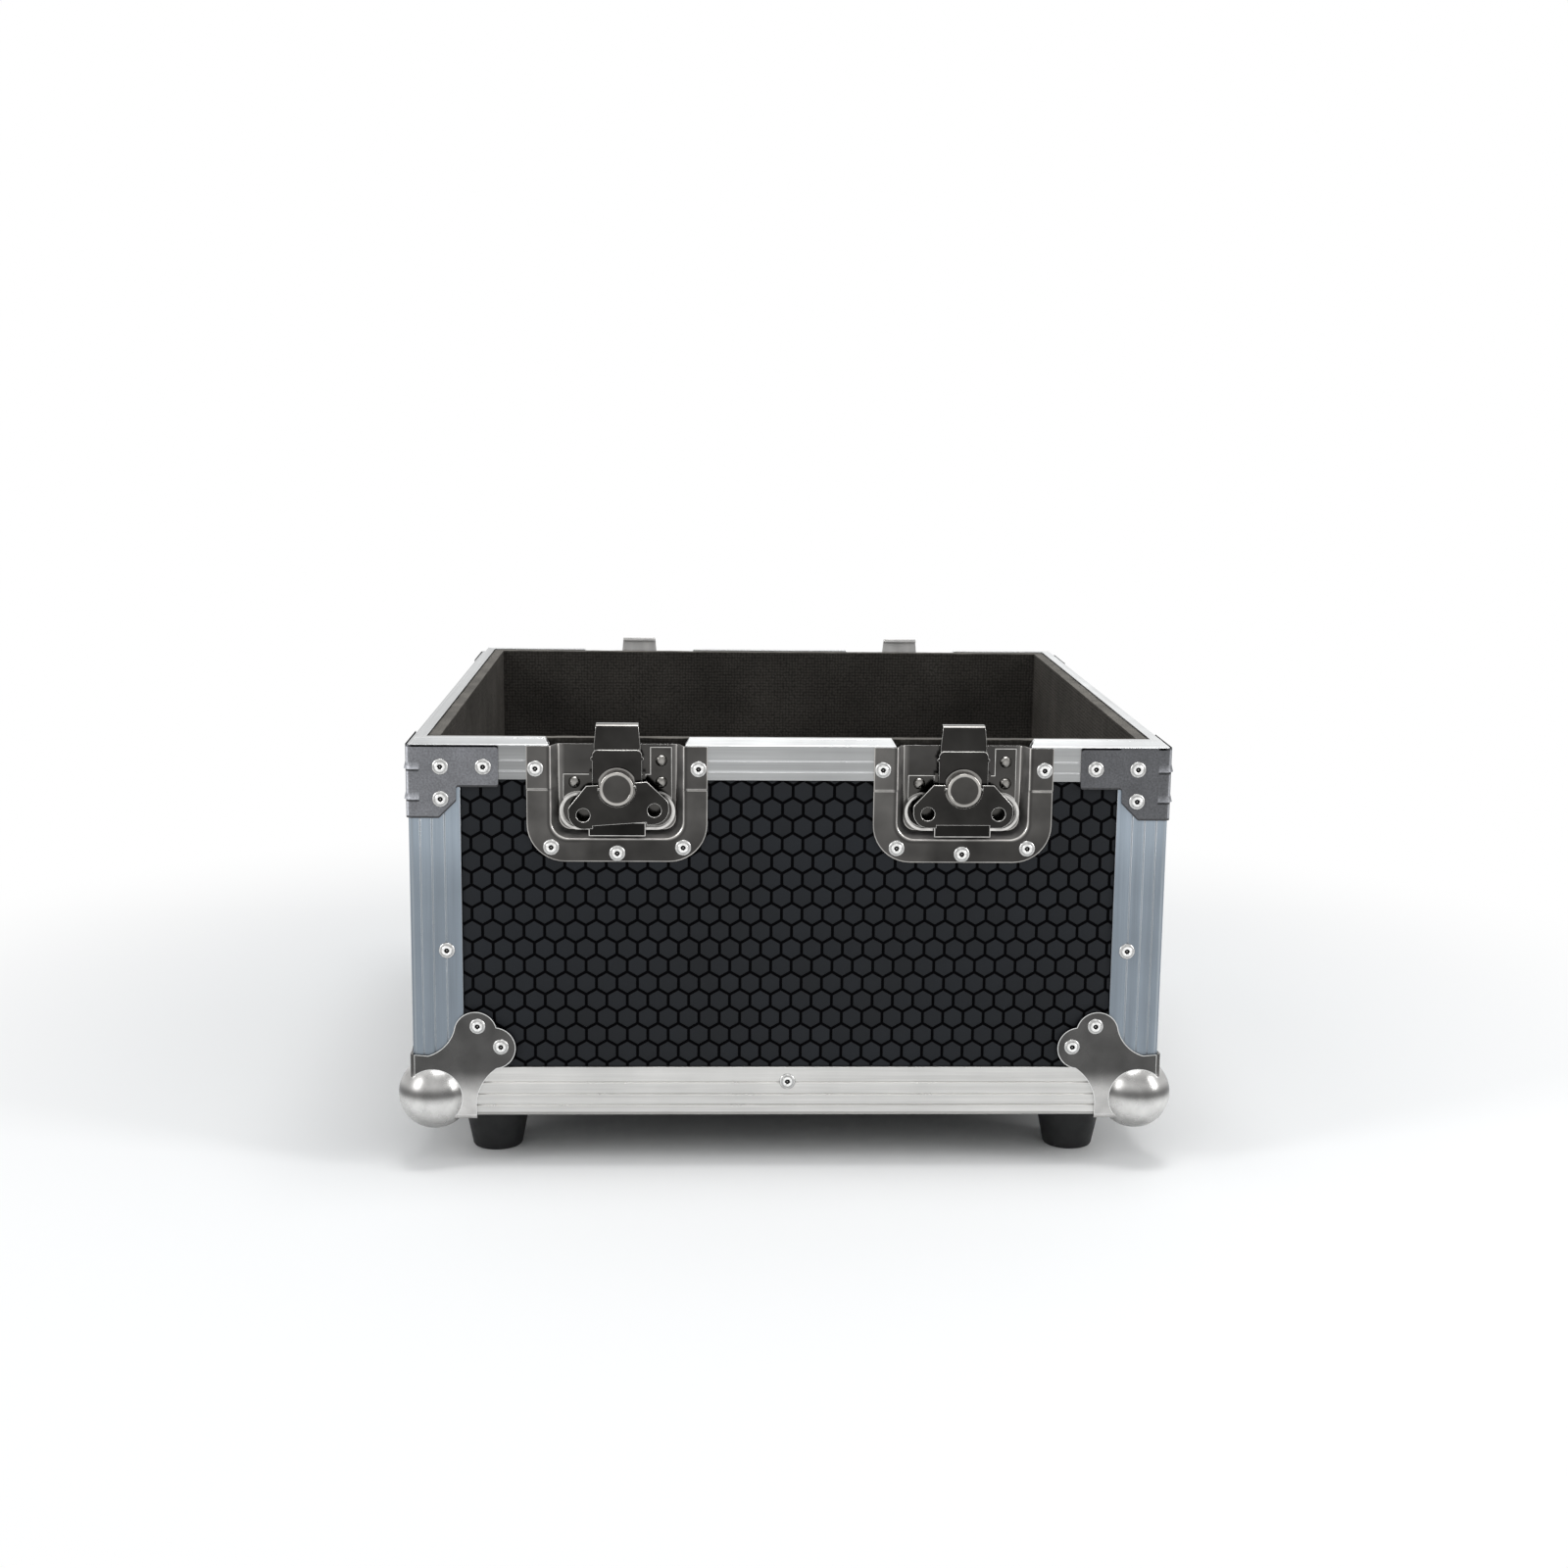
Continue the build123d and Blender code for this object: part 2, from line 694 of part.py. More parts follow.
def make_dish(face, name):
    """A latch dish: a flange stepped over the rim's leg, round a pan that is open at the top."""
    high = dish_seat - dish_sheet
    step_end = dish_step_drop + dish_step_run
    with BuildPart() as dish:
        with BuildSketch(across(face)):
            with BuildLine():
                Polyline(
                    (-dish_sheet, -dish_top_drop),
                    (-dish_sheet, -dish_step_drop),
                    (high, -step_end),
                    (high, -dish_drop),
                    (dish_seat, -dish_drop),
                    (dish_seat, -step_end + dish_sheet / 2),
                    (0, -dish_step_drop + dish_sheet / 2),
                    (0, -dish_top_drop),
                    close=True,
                )
            make_face()
        extrude(amount=dish_width / 2, both=True)
        with BuildSketch(at_depth(face, dish_seat + 1)) as outline:
            with Locations((0, 0)):
                Rectangle(dish_width, 2 * dish_drop)
            fillet(outline.vertices().group_by(Axis.Y)[0], dish_corner)
        extrude(amount=2 * edge_leg, mode=Mode.INTERSECT)
        pan = (dish_opening, dish_opening_drop, -dish_opening_drop, dish_opening_corner)
        add(recess(face, *pan, dish_floor_depth, dish_draft, dish_sheet))
        add(recess(face, *pan, dish_floor_depth, dish_draft, 0), mode=Mode.SUBTRACT)
        with BuildSketch(at_depth(face, 2 * foam_back)):
            with Locations((0, dish_drop - dish_top_drop)):
                Rectangle(2 * dish_width, 2 * dish_drop)
        extrude(amount=4 * foam_back, mode=Mode.SUBTRACT)
        holes = both_sides([(u, -v) for u, v in dish_rivets_high + dish_rivets_low])
        drill(face, holes, clear_hole, -dish_sheet - 1, panel_back)
        drill(face, plate_rivets, plate_rivet_shank / 2 + shaft_play, plate_front, foam_front)
    save(dish, f"latch_dish_{name}")


def latch_base(face):
    """The plate on the dish floor: tabs, guides for the hook, the tray and its ledge."""
    tray_middle = tray_half_width - tray_radius
    with BuildPart() as base:
        with BuildSketch(at_depth(face, dish_floor_depth)):
            with Locations((0, -tray_drop)):
                SlotCenterToCenter(2 * tray_middle, 2 * tray_radius)
            tab = latch_tab_outer - latch_tab_inner
            for side, top in ((-1, latch_tab_drop), (1, latch_high_tab_drop)):
                middle = side * (latch_tab_inner + latch_tab_outer) / 2
                with Locations((middle, -(top + tray_drop) / 2)):
                    Rectangle(tab, tray_drop - top)
            with Locations((0, -(latch_tab_drop + tray_drop) / 2)):
                Rectangle(2 * latch_tab_outer, tray_drop - latch_tab_drop)
        extrude(amount=latch_plate)
        with BuildSketch(at_depth(face, plate_front)):
            with Locations((0, -tray_drop)):
                SlotCenterToCenter(2 * tray_middle, 2 * tray_radius)
                SlotCenterToCenter(2 * tray_middle, 2 * (tray_radius - tray_wall), mode=Mode.SUBTRACT)
        extrude(amount=tray_height)
        guide = hook_cover_width / 2 + guide_play + guide_thickness / 2
        with BuildSketch(at_depth(face, plate_front)):
            with Locations(*both_sides([(guide, -sum(guide_drop) / 2)])):
                Rectangle(guide_thickness, guide_drop[1] - guide_drop[0])
        extrude(amount=guide_height)
        with BuildSketch(at_depth(face, ledge_depth[1])):
            with Locations((0, -sum(ledge_drop) / 2)):
                Rectangle(2 * ledge_half_width, ledge_drop[1] - ledge_drop[0])
        extrude(amount=ledge_depth[1] - ledge_depth[0])
        with BuildSketch(at_depth(face, plate_front)):
            with Locations((0, -ledge_drop[0] - tray_wall / 2)):
                Rectangle(2 * ledge_half_width, tray_wall)
        extrude(amount=plate_front - ledge_depth[1])
        drill(face, [(0, -hub_drop)], hub_shaft_radius + shaft_play, 0, dish_floor_depth + 1)
        drill(face, plate_rivets, plate_rivet_shank / 2 + shaft_play, 0, dish_floor_depth + 1)
    return base.part


def make_hook(face, name):
    """The hook: a bent strap with a cover plate, and the window that its eccentric works in."""
    crown = hook_height - hook_bend
    with BuildPart() as hook:
        with BuildSketch(across(face)):
            with BuildLine():
                Polyline(
                    (hook_front + hook_bend, hook_height),
                    (hook_front + hook_lip, hook_height),
                    (hook_front + hook_lip, hook_height - hook_sheet),
                    (hook_front + hook_bend, hook_height - hook_sheet),
                )
                RadiusArc(
                    (hook_front + hook_bend, hook_height - hook_sheet),
                    (hook_back, crown),
                    -(hook_bend - hook_sheet),
                )
                Polyline(
                    (hook_back, crown),
                    (hook_back, -hook_bottom_drop),
                    (hook_front, -hook_bottom_drop),
                    (hook_front, crown),
                )
                RadiusArc((hook_front, crown), (hook_front + hook_bend, hook_height), hook_bend)
            make_face()
        extrude(amount=hook_cover_width / 2, both=True)
        with BuildSketch(at_depth(face, hook_front + 2 * hook_lip)):
            with BuildLine():
                Polyline(
                    (-hook_width / 2, -hook_bottom_drop),
                    (hook_width / 2, -hook_bottom_drop),
                    (hook_width / 2, 0),
                    (hook_top_width / 2, hook_height),
                    (-hook_top_width / 2, hook_height),
                    (-hook_width / 2, 0),
                    close=True,
                )
            make_face()
        extrude(amount=3 * hook_lip, mode=Mode.INTERSECT)
        with BuildSketch(at_depth(face, hook_front)) as cover:
            with Locations((0, -(hook_cover_drop + hook_cover_bottom_drop) / 2)):
                Rectangle(hook_cover_width, hook_cover_bottom_drop - hook_cover_drop)
            fillet(cover.vertices().group_by(Axis.Y)[-1], hook_cover_round)
            with Locations(*both_sides([(hook_cover_width / 2, -hook_nub_drop)])):
                Circle(hook_nub_radius)
        extrude(amount=hook_cover_sheet)
        with BuildSketch(at_depth(face, hook_back)):
            with Locations((0, -hub_drop - offset_of_eccentric)):
                Rectangle(
                    2 * (offset_of_eccentric + eccentric_radius + window_play),
                    2 * (eccentric_radius + window_slack),
                )
        extrude(amount=hook_back - hook_cover_depth, mode=Mode.SUBTRACT)
    save(hook, f"latch_hook_{name}")


def key_plane(face, turn):
    """A wall's plane with its origin on a hub's axis, turned with the key."""
    axis = moved_on(face, 0, -hub_drop)
    along = axis.x_dir * math.cos(math.radians(turn)) + axis.y_dir * math.sin(math.radians(turn))
    return Plane(axis.origin, x_dir=along, z_dir=axis.z_dir)


def make_hub(face, name, turn):
    """The hub: a shaft in the base plate, the eccentric, a collar with flats and the cap."""
    axis = key_plane(face, turn)
    collar_front, collar_back = hub_collar_depth
    with BuildPart() as hub:
        eccentric_back = hook_back + window_play / 2
        with BuildSketch(at_depth(axis, dish_floor_depth - shaft_end_play)):
            Circle(hub_shaft_radius)
        extrude(amount=dish_floor_depth - shaft_end_play - eccentric_back)
        with BuildSketch(at_depth(axis, eccentric_back)):
            with Locations((0, -offset_of_eccentric)):
                Circle(eccentric_radius)
        extrude(amount=eccentric_back - collar_back)
        with BuildSketch(at_depth(axis, collar_back)):
            Circle(hub_collar_radius)
            Rectangle(2 * hub_flat, 4 * hub_flat, mode=Mode.INTERSECT)
        extrude(amount=collar_back - collar_front)
        with BuildSketch(at_depth(axis, collar_front)):
            Circle(hub_body_radius)
        extrude(amount=hub_front - hub_cap_height + collar_front)
        with BuildSketch(at_depth(axis, hub_cap_height - hub_front)):
            Circle(hub_cap_radius)
        extrude(amount=hub_cap_height)
        with BuildSketch(at_depth(axis, hub_face_recess - hub_front)):
            Circle(hub_face_radius)
        extrude(amount=hub_face_recess, mode=Mode.SUBTRACT)
        socket = at_depth(axis, wing_depth)
        for side in (-1, 1):
            start = socket.from_local_coords((side * (trunnion_reach - trunnion_end_play), 0, 0))
            with BuildSketch(Plane(start, z_dir=axis.x_dir * side)):
                Circle(trunnion_radius + trunnion_play)
            extrude(amount=hub_collar_radius, mode=Mode.SUBTRACT)
    save(hub, f"latch_hub_{name}")


# The wing key, made flat: a plate with two ears that folds out on trunnions in the hub
with BuildPart() as one_wing:
    shoulder_x, shoulder_y = wing_shoulder
    with BuildSketch(Plane.XY.offset(-wing_sheet / 2)) as plate:
        right_side = [
            (shoulder_x, shoulder_y),
            (wing_half_width, -wing_slope_drop),
            (wing_half_width, -wing_ear_bottom),
        ]
        left_side = [(-x, y) for x, y in reversed(right_side)]
        with BuildLine():
            Polyline(*right_side, *left_side, close=True)
        make_face()
        by_height = plate.vertices().group_by(Axis.Y)
        fillet(by_height[0], wing_ear_round)
        slopes = [v for v in plate.vertices() if abs(v.Y + wing_slope_drop) < 0.01]
        fillet(slopes, wing_slope_round)
        with Locations((0, -wing_ear_bottom)):
            Rectangle(2 * wing_notch_half_width, 2 * wing_notch, mode=Mode.SUBTRACT)
        Circle(wing_clear_radius, mode=Mode.SUBTRACT)
        with Locations(*both_sides([wing_hole_place])):
            Circle(wing_hole_radius, mode=Mode.SUBTRACT)
    extrude(amount=wing_sheet)
    fillet(one_wing.faces().sort_by(Axis.Z)[-1].edges(), wing_edge_round)
    for side in (-1, 1):
        with BuildSketch(Plane((side * trunnion_reach, 0, 0), z_dir=(side, 0, 0))):
            Circle(trunnion_radius)
        extrude(amount=wing_clear_radius + 1 - trunnion_reach)


def place_wing(face, name, turn):
    """A wing key in its place on a hub."""
    with BuildPart() as wing:
        with Locations(Location(at_depth(key_plane(face, turn), wing_depth))):
            add(one_wing.part)
    save(wing, f"latch_wing_{name}")


# The four latches
latches = {
    "front_left": ("front", -latch_reach, front_left_key_turn),
    "front_right": ("front", latch_reach, 0),
    "back_right": ("back", -latch_reach, 0),
    "back_left": ("back", latch_reach, 0),
}
base_plates = []
for name, (side, place, turn) in latches.items():
    face = moved_on(walls[side][0], place, 0)
    make_dish(face, name)
    make_hook(face, name)
    make_hub(face, name, turn)
    place_wing(face, name, turn)
    base_plates.append(latch_base(face))

with BuildPart() as latch_base_plates:
    add(base_plates)
save(latch_base_plates, "latch_base_plates")


def rivet(head, height, shank, length, mandrel):
    """A domed rivet on the Z axis, seated on Z = 0, with its shank down."""
    dome = (head**2 / 4 + height**2) / (2 * height)
    with BuildPart() as one:
        with BuildSketch(Plane.XZ):
            with BuildLine():
                Line((0, -length), (shank / 2, -length))
                Line((shank / 2, -length), (shank / 2, 0))
                Line((shank / 2, 0), (head / 2, 0))
                RadiusArc((head / 2, 0), (0, height), -dome)
                Line((0, height), (0, -length))
            make_face()
        revolve(axis=Axis.Z)
        if mandrel:
            with BuildSketch(Plane.XY.offset(height - rivet_mandrel_depth)):
                Circle(mandrel / 2)
            extrude(amount=rivet_mandrel_depth, mode=Mode.SUBTRACT)
    return one.part


def rivet_group(name, wanted):
    """All the blind rivets of the walls that are wanted, as one group of separate solids."""
    with BuildPart() as group:
        for side, (face, length) in walls.items():
            for places, seat in rivet_spots(side, length):
                places = [spot for spot in places if wanted(side, spot, seat)]
                if not places:
                    continue
                length_below = panel_back - rivet_tail_gap - seat
                one = rivet(
                    rivet_head, rivet_head_height, rivet_shank, length_below, rivet_mandrel
                )
                with Locations(*[Location(moved_on(at_depth(face, seat), u, v)) for u, v in places]):
                    add(one)
    save(group, name)


frame_seats = (-bracket_sheet, -ball_sheet, 0.0)
rivet_group("frame_rivets", lambda side, spot, seat: seat in frame_seats)
rivet_group(
    "latch_rivets", lambda side, spot, seat: seat not in frame_seats and side in ("front", "back")
)
rivet_group(
    "handle_rivets", lambda side, spot, seat: seat not in frame_seats and side in ("left", "right")
)

with BuildPart() as plate_rivet_group:
    tail = dish_floor_depth + dish_sheet - plate_front
    small = rivet(plate_rivet_head, plate_rivet_head_height, plate_rivet_shank, tail, 0)
    for side, place, _ in latches.values():
        face = moved_on(walls[side][0], place, 0)
        seats = [moved_on(at_depth(face, plate_front), u, v) for u, v in plate_rivets]
        with Locations(*[Location(seat) for seat in seats]):
            add(small)
save(plate_rivet_group, "latch_base_rivets")


def make_handle(face, name):
    """A drop handle: a recessed dish with two ears, a bent rod and a rubber grip on it."""
    centre = moved_on(face, 0, -handle_drop)
    half_height = handle_opening_height / 2
    ear_inner = bail_half_width + bail_rod / 2 + bail_ear_gap
    axis_place = (bail_axis_depth, bail_axis_rise)
    with BuildPart() as dish:
        with BuildSketch(at_depth(centre, dish_seat)):
            RectangleRounded(handle_width, handle_height, handle_corner)
            with Locations(
                *both_sides([(x, s * y) for x, y in handle_rivets for s in ((-1, 1) if y else (1,))])
            ):
                Circle(clear_hole, mode=Mode.SUBTRACT)
        extrude(amount=dish_sheet)
        pan = (handle_opening, half_height, -half_height, handle_opening_corner)
        add(recess(centre, *pan, handle_floor_depth, handle_draft, dish_sheet))
        with BuildSketch(at_depth(centre, dish_seat - dish_sheet)):
            Rectangle(2 * handle_width, 2 * handle_height)
        extrude(amount=edge_leg, mode=Mode.SUBTRACT)
        add(recess(centre, *pan, handle_floor_depth, handle_draft, 0), mode=Mode.SUBTRACT)
        for side in (-1, 1):
            start = side * ear_inner if side > 0 else side * ear_inner - bail_ear
            with BuildSketch(across(centre, start)):
                with Locations(((bail_axis_depth + handle_floor_depth) / 2 - 1, bail_axis_rise)):
                    Rectangle(handle_floor_depth - bail_axis_depth + 8, bail_ear_width)
                with Locations((handle_floor_depth + dish_sheet + 20, bail_axis_rise)):
                    Rectangle(40, 40, mode=Mode.SUBTRACT)
                with Locations(axis_place):
                    Circle(bail_trunnion / 2 + bail_play, mode=Mode.SUBTRACT)
            extrude(amount=bail_ear)
    save(dish, f"handle_dish_{name}")

    axis = at_depth(moved_on(centre, 0, bail_axis_rise), bail_axis_depth)
    with BuildPart() as bail:
        with BuildLine(axis):
            path = FilletPolyline(
                (-bail_half_width, 0),
                (-bail_half_width, -bail_drop),
                (bail_half_width, -bail_drop),
                (bail_half_width, 0),
                radius=bail_bend,
            )
        with BuildSketch(Plane(axis.from_local_coords((-bail_half_width, 0, 0)), z_dir=-axis.y_dir)):
            Circle(bail_rod / 2)
        sweep(path=path)
        with Locations(*[axis.from_local_coords((s * bail_half_width, 0, 0)) for s in (-1, 1)]):
            Sphere(bail_rod / 2)
        end = ear_inner + bail_ear
        for side in (-1, 1):
            start = axis.from_local_coords((side * bail_half_width, 0, 0))
            with BuildSketch(Plane(start, z_dir=face.x_dir * side)):
                Circle(bail_trunnion / 2)
            extrude(amount=end - bail_half_width)
    save(bail, f"handle_bail_{name}")

    with BuildPart() as grip:
        middle = axis.from_local_coords((-grip_length / 2, -bail_drop, 0))
        with BuildSketch(Plane(middle, z_dir=face.x_dir)):
            Circle(grip_radius)
        extrude(amount=grip_length)
        fillet(grip.edges().filter_by(GeomType.CIRCLE), grip_round)
        with BuildSketch(Plane(middle, z_dir=face.x_dir)):
            Circle(bail_rod / 2 + bail_play)
        extrude(amount=grip_length, mode=Mode.SUBTRACT)
    save(grip, f"handle_grip_{name}")


for name in ("left", "right"):
    make_handle(walls[name][0], name)
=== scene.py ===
import math
import random

import bmesh
import bpy
from mathutils import Matrix, Vector, noise


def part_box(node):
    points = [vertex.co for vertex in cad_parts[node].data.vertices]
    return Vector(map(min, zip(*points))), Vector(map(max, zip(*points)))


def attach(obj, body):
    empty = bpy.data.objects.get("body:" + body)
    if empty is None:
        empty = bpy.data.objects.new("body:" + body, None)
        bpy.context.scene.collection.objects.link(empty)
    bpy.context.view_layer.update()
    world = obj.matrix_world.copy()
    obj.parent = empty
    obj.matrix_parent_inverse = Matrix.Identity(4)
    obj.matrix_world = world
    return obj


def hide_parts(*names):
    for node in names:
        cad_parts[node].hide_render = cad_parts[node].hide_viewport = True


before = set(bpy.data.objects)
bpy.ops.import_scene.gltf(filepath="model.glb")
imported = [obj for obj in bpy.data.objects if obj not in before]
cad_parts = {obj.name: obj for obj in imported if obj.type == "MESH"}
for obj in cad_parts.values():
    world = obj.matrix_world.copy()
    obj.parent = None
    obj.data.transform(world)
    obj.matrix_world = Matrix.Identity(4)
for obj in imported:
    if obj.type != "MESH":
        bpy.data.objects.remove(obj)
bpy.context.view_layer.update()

# Plywood walls, slid into slots in the edge extrusions. Outside they are faced with a dark
# laminate that is pressed into hexagon plates, with narrow black grooves between them.
MM = 0.001
case_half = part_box("bottom_edge_right")[1].x
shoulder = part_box("corner_bracket_front_left")[1].z
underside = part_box("bottom_edge_front")[0].z
wall_turns = {"front": 0, "right": 90, "back": 180, "left": 270}
edge_leg = 30
rim_leg = 20
hexagon_pitch = 11.986
hexagon_rows = 10.4
hexagon_half = 5.15
hexagon_bevel = 0.3
hexagon_start = (1.5, -120.4)
groove_depth = 1.75
plate_depth = 1.3
hexagon_rows_used = range(-9, 12)
hexagons_across = range(-18, 18)
panel_margin = 0.2
latch_reach = 100
dish_keepout = (44.5, 60.5)  # half its width, and its drop
handle_keepout = (70, 47, -106)  # half its width and height, and its middle
thinnest_side = 0.05


def wall_axes(side):
    """The directions along a wall, to the right as seen from outside, and out of it."""
    turn = math.radians(wall_turns[side])
    return Vector((math.cos(turn), math.sin(turn), 0)), Vector((math.sin(turn), -math.cos(turn), 0))


def on_wall(side, u, v, d):
    """A place on a wall in millimetres: u along it, v up from the rim's shoulder and d inward."""
    along, outward = wall_axes(side)
    return outward * (case_half - d * MM) + along * (u * MM) + Vector((0, 0, shoulder + v * MM))


def finish(name, colour, roughness, metallic=0.0, shine=0.5):
    """A material with one colour, for surface detail to be added to."""
    material = bpy.data.materials.new(name)
    material.use_nodes = True
    shader = material.node_tree.nodes["Principled BSDF"]
    shader.inputs["Base Color"].default_value = (*colour, 1)
    shader.inputs["Roughness"].default_value = roughness
    shader.inputs["Metallic"].default_value = metallic
    shader.inputs["Specular IOR Level"].default_value = shine
    return material


def scale_colour(material, factor):
    """Multiplies a material's colour by what a socket gives."""
    tree = material.node_tree
    colour = tree.nodes["Principled BSDF"].inputs["Base Color"]
    tint = tree.nodes.new("ShaderNodeVectorMath")
    tint.operation = "SCALE"
    if colour.is_linked:
        tree.links.new(colour.links[0].from_socket, tint.inputs[0])
    else:
        tint.inputs[0].default_value = colour.default_value[:3]
    tree.links.new(factor, tint.inputs["Scale"])
    tree.links.new(tint.outputs["Vector"], colour)


def spread_out(tree, value, start, end, first, last):
    """Turns values from start to end into values from first to last."""
    spread = tree.nodes.new("ShaderNodeMapRange")
    limits = {"From Min": start, "From Max": end, "To Min": first, "To Max": last}
    for name, number in limits.items():
        spread.inputs[name].default_value = number
    tree.links.new(value, spread.inputs["Value"])
    return spread


def add_grain(material, size, stretch=(1, 1, 1), bump=0.0, shade=0.0, rough=None, detail=3.0):
    """Noise of a size in millimetres, drawn out by stretch. It dents the surface by bump
    millimetres and varies its colour by the share shade and its roughness between rough."""
    tree = material.node_tree
    shader = tree.nodes["Principled BSDF"]
    place = tree.nodes.new("ShaderNodeTexCoord")
    scale = tree.nodes.new("ShaderNodeMapping")
    scale.inputs["Scale"].default_value = [1 / s for s in stretch]
    tree.links.new(place.outputs["Object"], scale.inputs["Vector"])
    grain = tree.nodes.new("ShaderNodeTexNoise")
    grain.inputs["Scale"].default_value = 1 / (size * MM)
    grain.inputs["Detail"].default_value = detail
    tree.links.new(scale.outputs["Vector"], grain.inputs["Vector"])
    height = grain.outputs["Fac"]
    if bump:
        dents = tree.nodes.new("ShaderNodeBump")
        dents.inputs["Distance"].default_value = bump * MM
        tree.links.new(height, dents.inputs["Height"])
        if shader.inputs["Normal"].is_linked:
            tree.links.new(shader.inputs["Normal"].links[0].from_socket, dents.inputs["Normal"])
        tree.links.new(dents.outputs["Normal"], shader.inputs["Normal"])
    usual = (0.3, 0.7)  # the noise seldom goes past these
    if shade:
        varied = spread_out(tree, height, *usual, 1 - shade, 1 + shade)
        scale_colour(material, varied.outputs["Result"])
    if rough:
        varied = spread_out(tree, height, *usual, *rough)
        tree.links.new(varied.outputs["Result"], shader.inputs["Roughness"])


def add_shade(material):
    """Lets a mesh make its colour lighter or darker from place to place, with shade values."""
    shade = material.node_tree.nodes.new("ShaderNodeAttribute")
    shade.attribute_name = "shade"
    scale_colour(material, shade.outputs["Fac"])


def shade_mesh(mesh, values, domain="POINT"):
    """Keeps the shade values of a mesh, one for each point or face."""
    kept = mesh.attributes.new("shade", "FLOAT", domain)
    kept.data.foreach_set("value", values)


def paint(node, material):
    """Gives a CAD node its material."""
    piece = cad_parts[node]
    piece.data.materials.clear()
    piece.data.materials.append(material)


def put_in_scene(name, data):
    """A new object in the scene, with a mesh, a lamp or a camera in it."""
    thing = bpy.data.objects.new(name, data)
    bpy.context.scene.collection.objects.link(thing)
    return thing


def add_piece(name, points, faces, material, body="case", smooth=30.0):
    """A new mesh that rides on a body, smooth where its faces meet at less than an angle."""
    mesh = bpy.data.meshes.new(name)
    mesh.from_pydata([tuple(p) for p in points], [], faces)
    mesh.materials.append(material)
    piece = put_in_scene(name, mesh)
    mesh.shade_smooth()
    mesh.set_sharp_from_angle(angle=math.radians(smooth))
    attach(piece, body)
    return piece


def inside_part(corners, axis, limit, sign):
    """The part of a convex outline on one side of a straight line."""
    kept = []
    for first, second in zip(corners, corners[1:] + corners[:1]):
        a = sign * (first[axis] - limit)
        b = sign * (second[axis] - limit)
        if a >= 0:
            kept.append(first)
        if a * b < 0:
            share = a / (a - b)
            kept.append(tuple(p + (q - p) * share for p, q in zip(first, second)))
    return kept


def shrunk(corners, by):
    """A convex outline with each side moved inward."""
    lines = []
    for (ax, ay), (bx, by_) in zip(corners, corners[1:] + corners[:1]):
        length = math.hypot(bx - ax, by_ - ay)
        nx, ny = -(by_ - ay) / length, (bx - ax) / length
        lines.append((nx, ny, nx * ax + ny * ay + by))
    moved = []
    for (a, b, c), (d, e, f) in zip(lines[-1:] + lines[:-1], lines):
        cross = a * e - b * d
        if abs(cross) < 1e-6:
            return None
        moved.append(((c * e - b * f) / cross, (a * f - c * d) / cross))
    return moved


laminate = finish("black_laminate", (0.0072, 0.0088, 0.0115), 0.5, shine=0.22)
add_shade(laminate)
add_grain(laminate, 0.35, bump=0.03, shade=0.18, detail=4)
add_grain(laminate, 60, shade=0.16, rough=(0.42, 0.6))
groove_black = finish("groove_black", (0.0015, 0.0015, 0.002), 0.8, shine=0.03)
add_grain(groove_black, 1.5, bump=0.05, shade=0.3)

for side in wall_turns:
    paint(f"{side}_panel", groove_black)
    right = case_half / MM - edge_leg - panel_margin
    top = -rim_leg - panel_margin
    bottom = (underside - shoulder) / MM + edge_leg + panel_margin
    points, faces, shades = [], [], []
    chance = random.Random(sum(map(ord, side)))
    for row in hexagon_rows_used:
        v = hexagon_start[1] + row * hexagon_rows
        for column in hexagons_across:
            u = hexagon_start[0] + (column + 0.5 * (row % 2)) * hexagon_pitch
            if side in ("front", "back"):
                if abs(abs(u) - latch_reach) < dish_keepout[0] and v > -dish_keepout[1]:
                    continue
            elif abs(u) < handle_keepout[0] and abs(v - handle_keepout[2]) < handle_keepout[1]:
                continue
            reach = hexagon_half / math.cos(math.radians(30))
            turns = [math.radians(60 * k) for k in range(6)]
            plate = [(u + reach * math.sin(a), v + reach * math.cos(a)) for a in turns][::-1]
            for axis, limit, sign in ((0, -right, 1), (0, right, -1), (1, bottom, 1), (1, top, -1)):
                plate = inside_part(plate, axis, limit, sign) if len(plate) > 2 else []
            plate = [
                c for c, after in zip(plate, plate[1:] + plate[:1])
                if math.dist(c, after) > thinnest_side
            ]
            if len(plate) < 3:
                continue
            crown = shrunk(plate, hexagon_bevel)
            spans = [max(c[k] for c in plate) - min(c[k] for c in plate) for k in (0, 1)]
            if crown is None or min(spans) < 3 * hexagon_bevel:
                continue
            count, start = len(plate), len(points)
            tone = chance.uniform(0.86, 1.12)
            # Each plate's sloped sides are painted darker, a painted shade into the grooves.
            shades += [0.3 * tone] * (2 * count) + [0.7 * tone] * count + [tone] * count
            for outline, depth in (
                (plate, groove_depth),
                (plate, plate_depth + 0.2),
                (shrunk(plate, hexagon_bevel * 0.3) or plate, plate_depth + 0.06),
                (crown, plate_depth),
            ):
                points += [on_wall(side, a, b, depth) for a, b in outline]
            for ring in range(3):
                for k in range(count):
                    after = (k + 1) % count
                    low, high = start + ring * count, start + (ring + 1) * count
                    faces.append((low + k, low + after, high + after, high + k))
            faces.append(tuple(start + 3 * count + k for k in range(count)))
    plates = add_piece(
        f"laminate_{side}", points, faces, laminate, smooth=50
    )
    shade_mesh(plates.data, shades)
paint("bottom_panel", groove_black)

# Aluminium edge extrusions: corner posts, bottom edges and the rim with its tongue. They are
# grooved along their length and brushed, with their edges just broken.


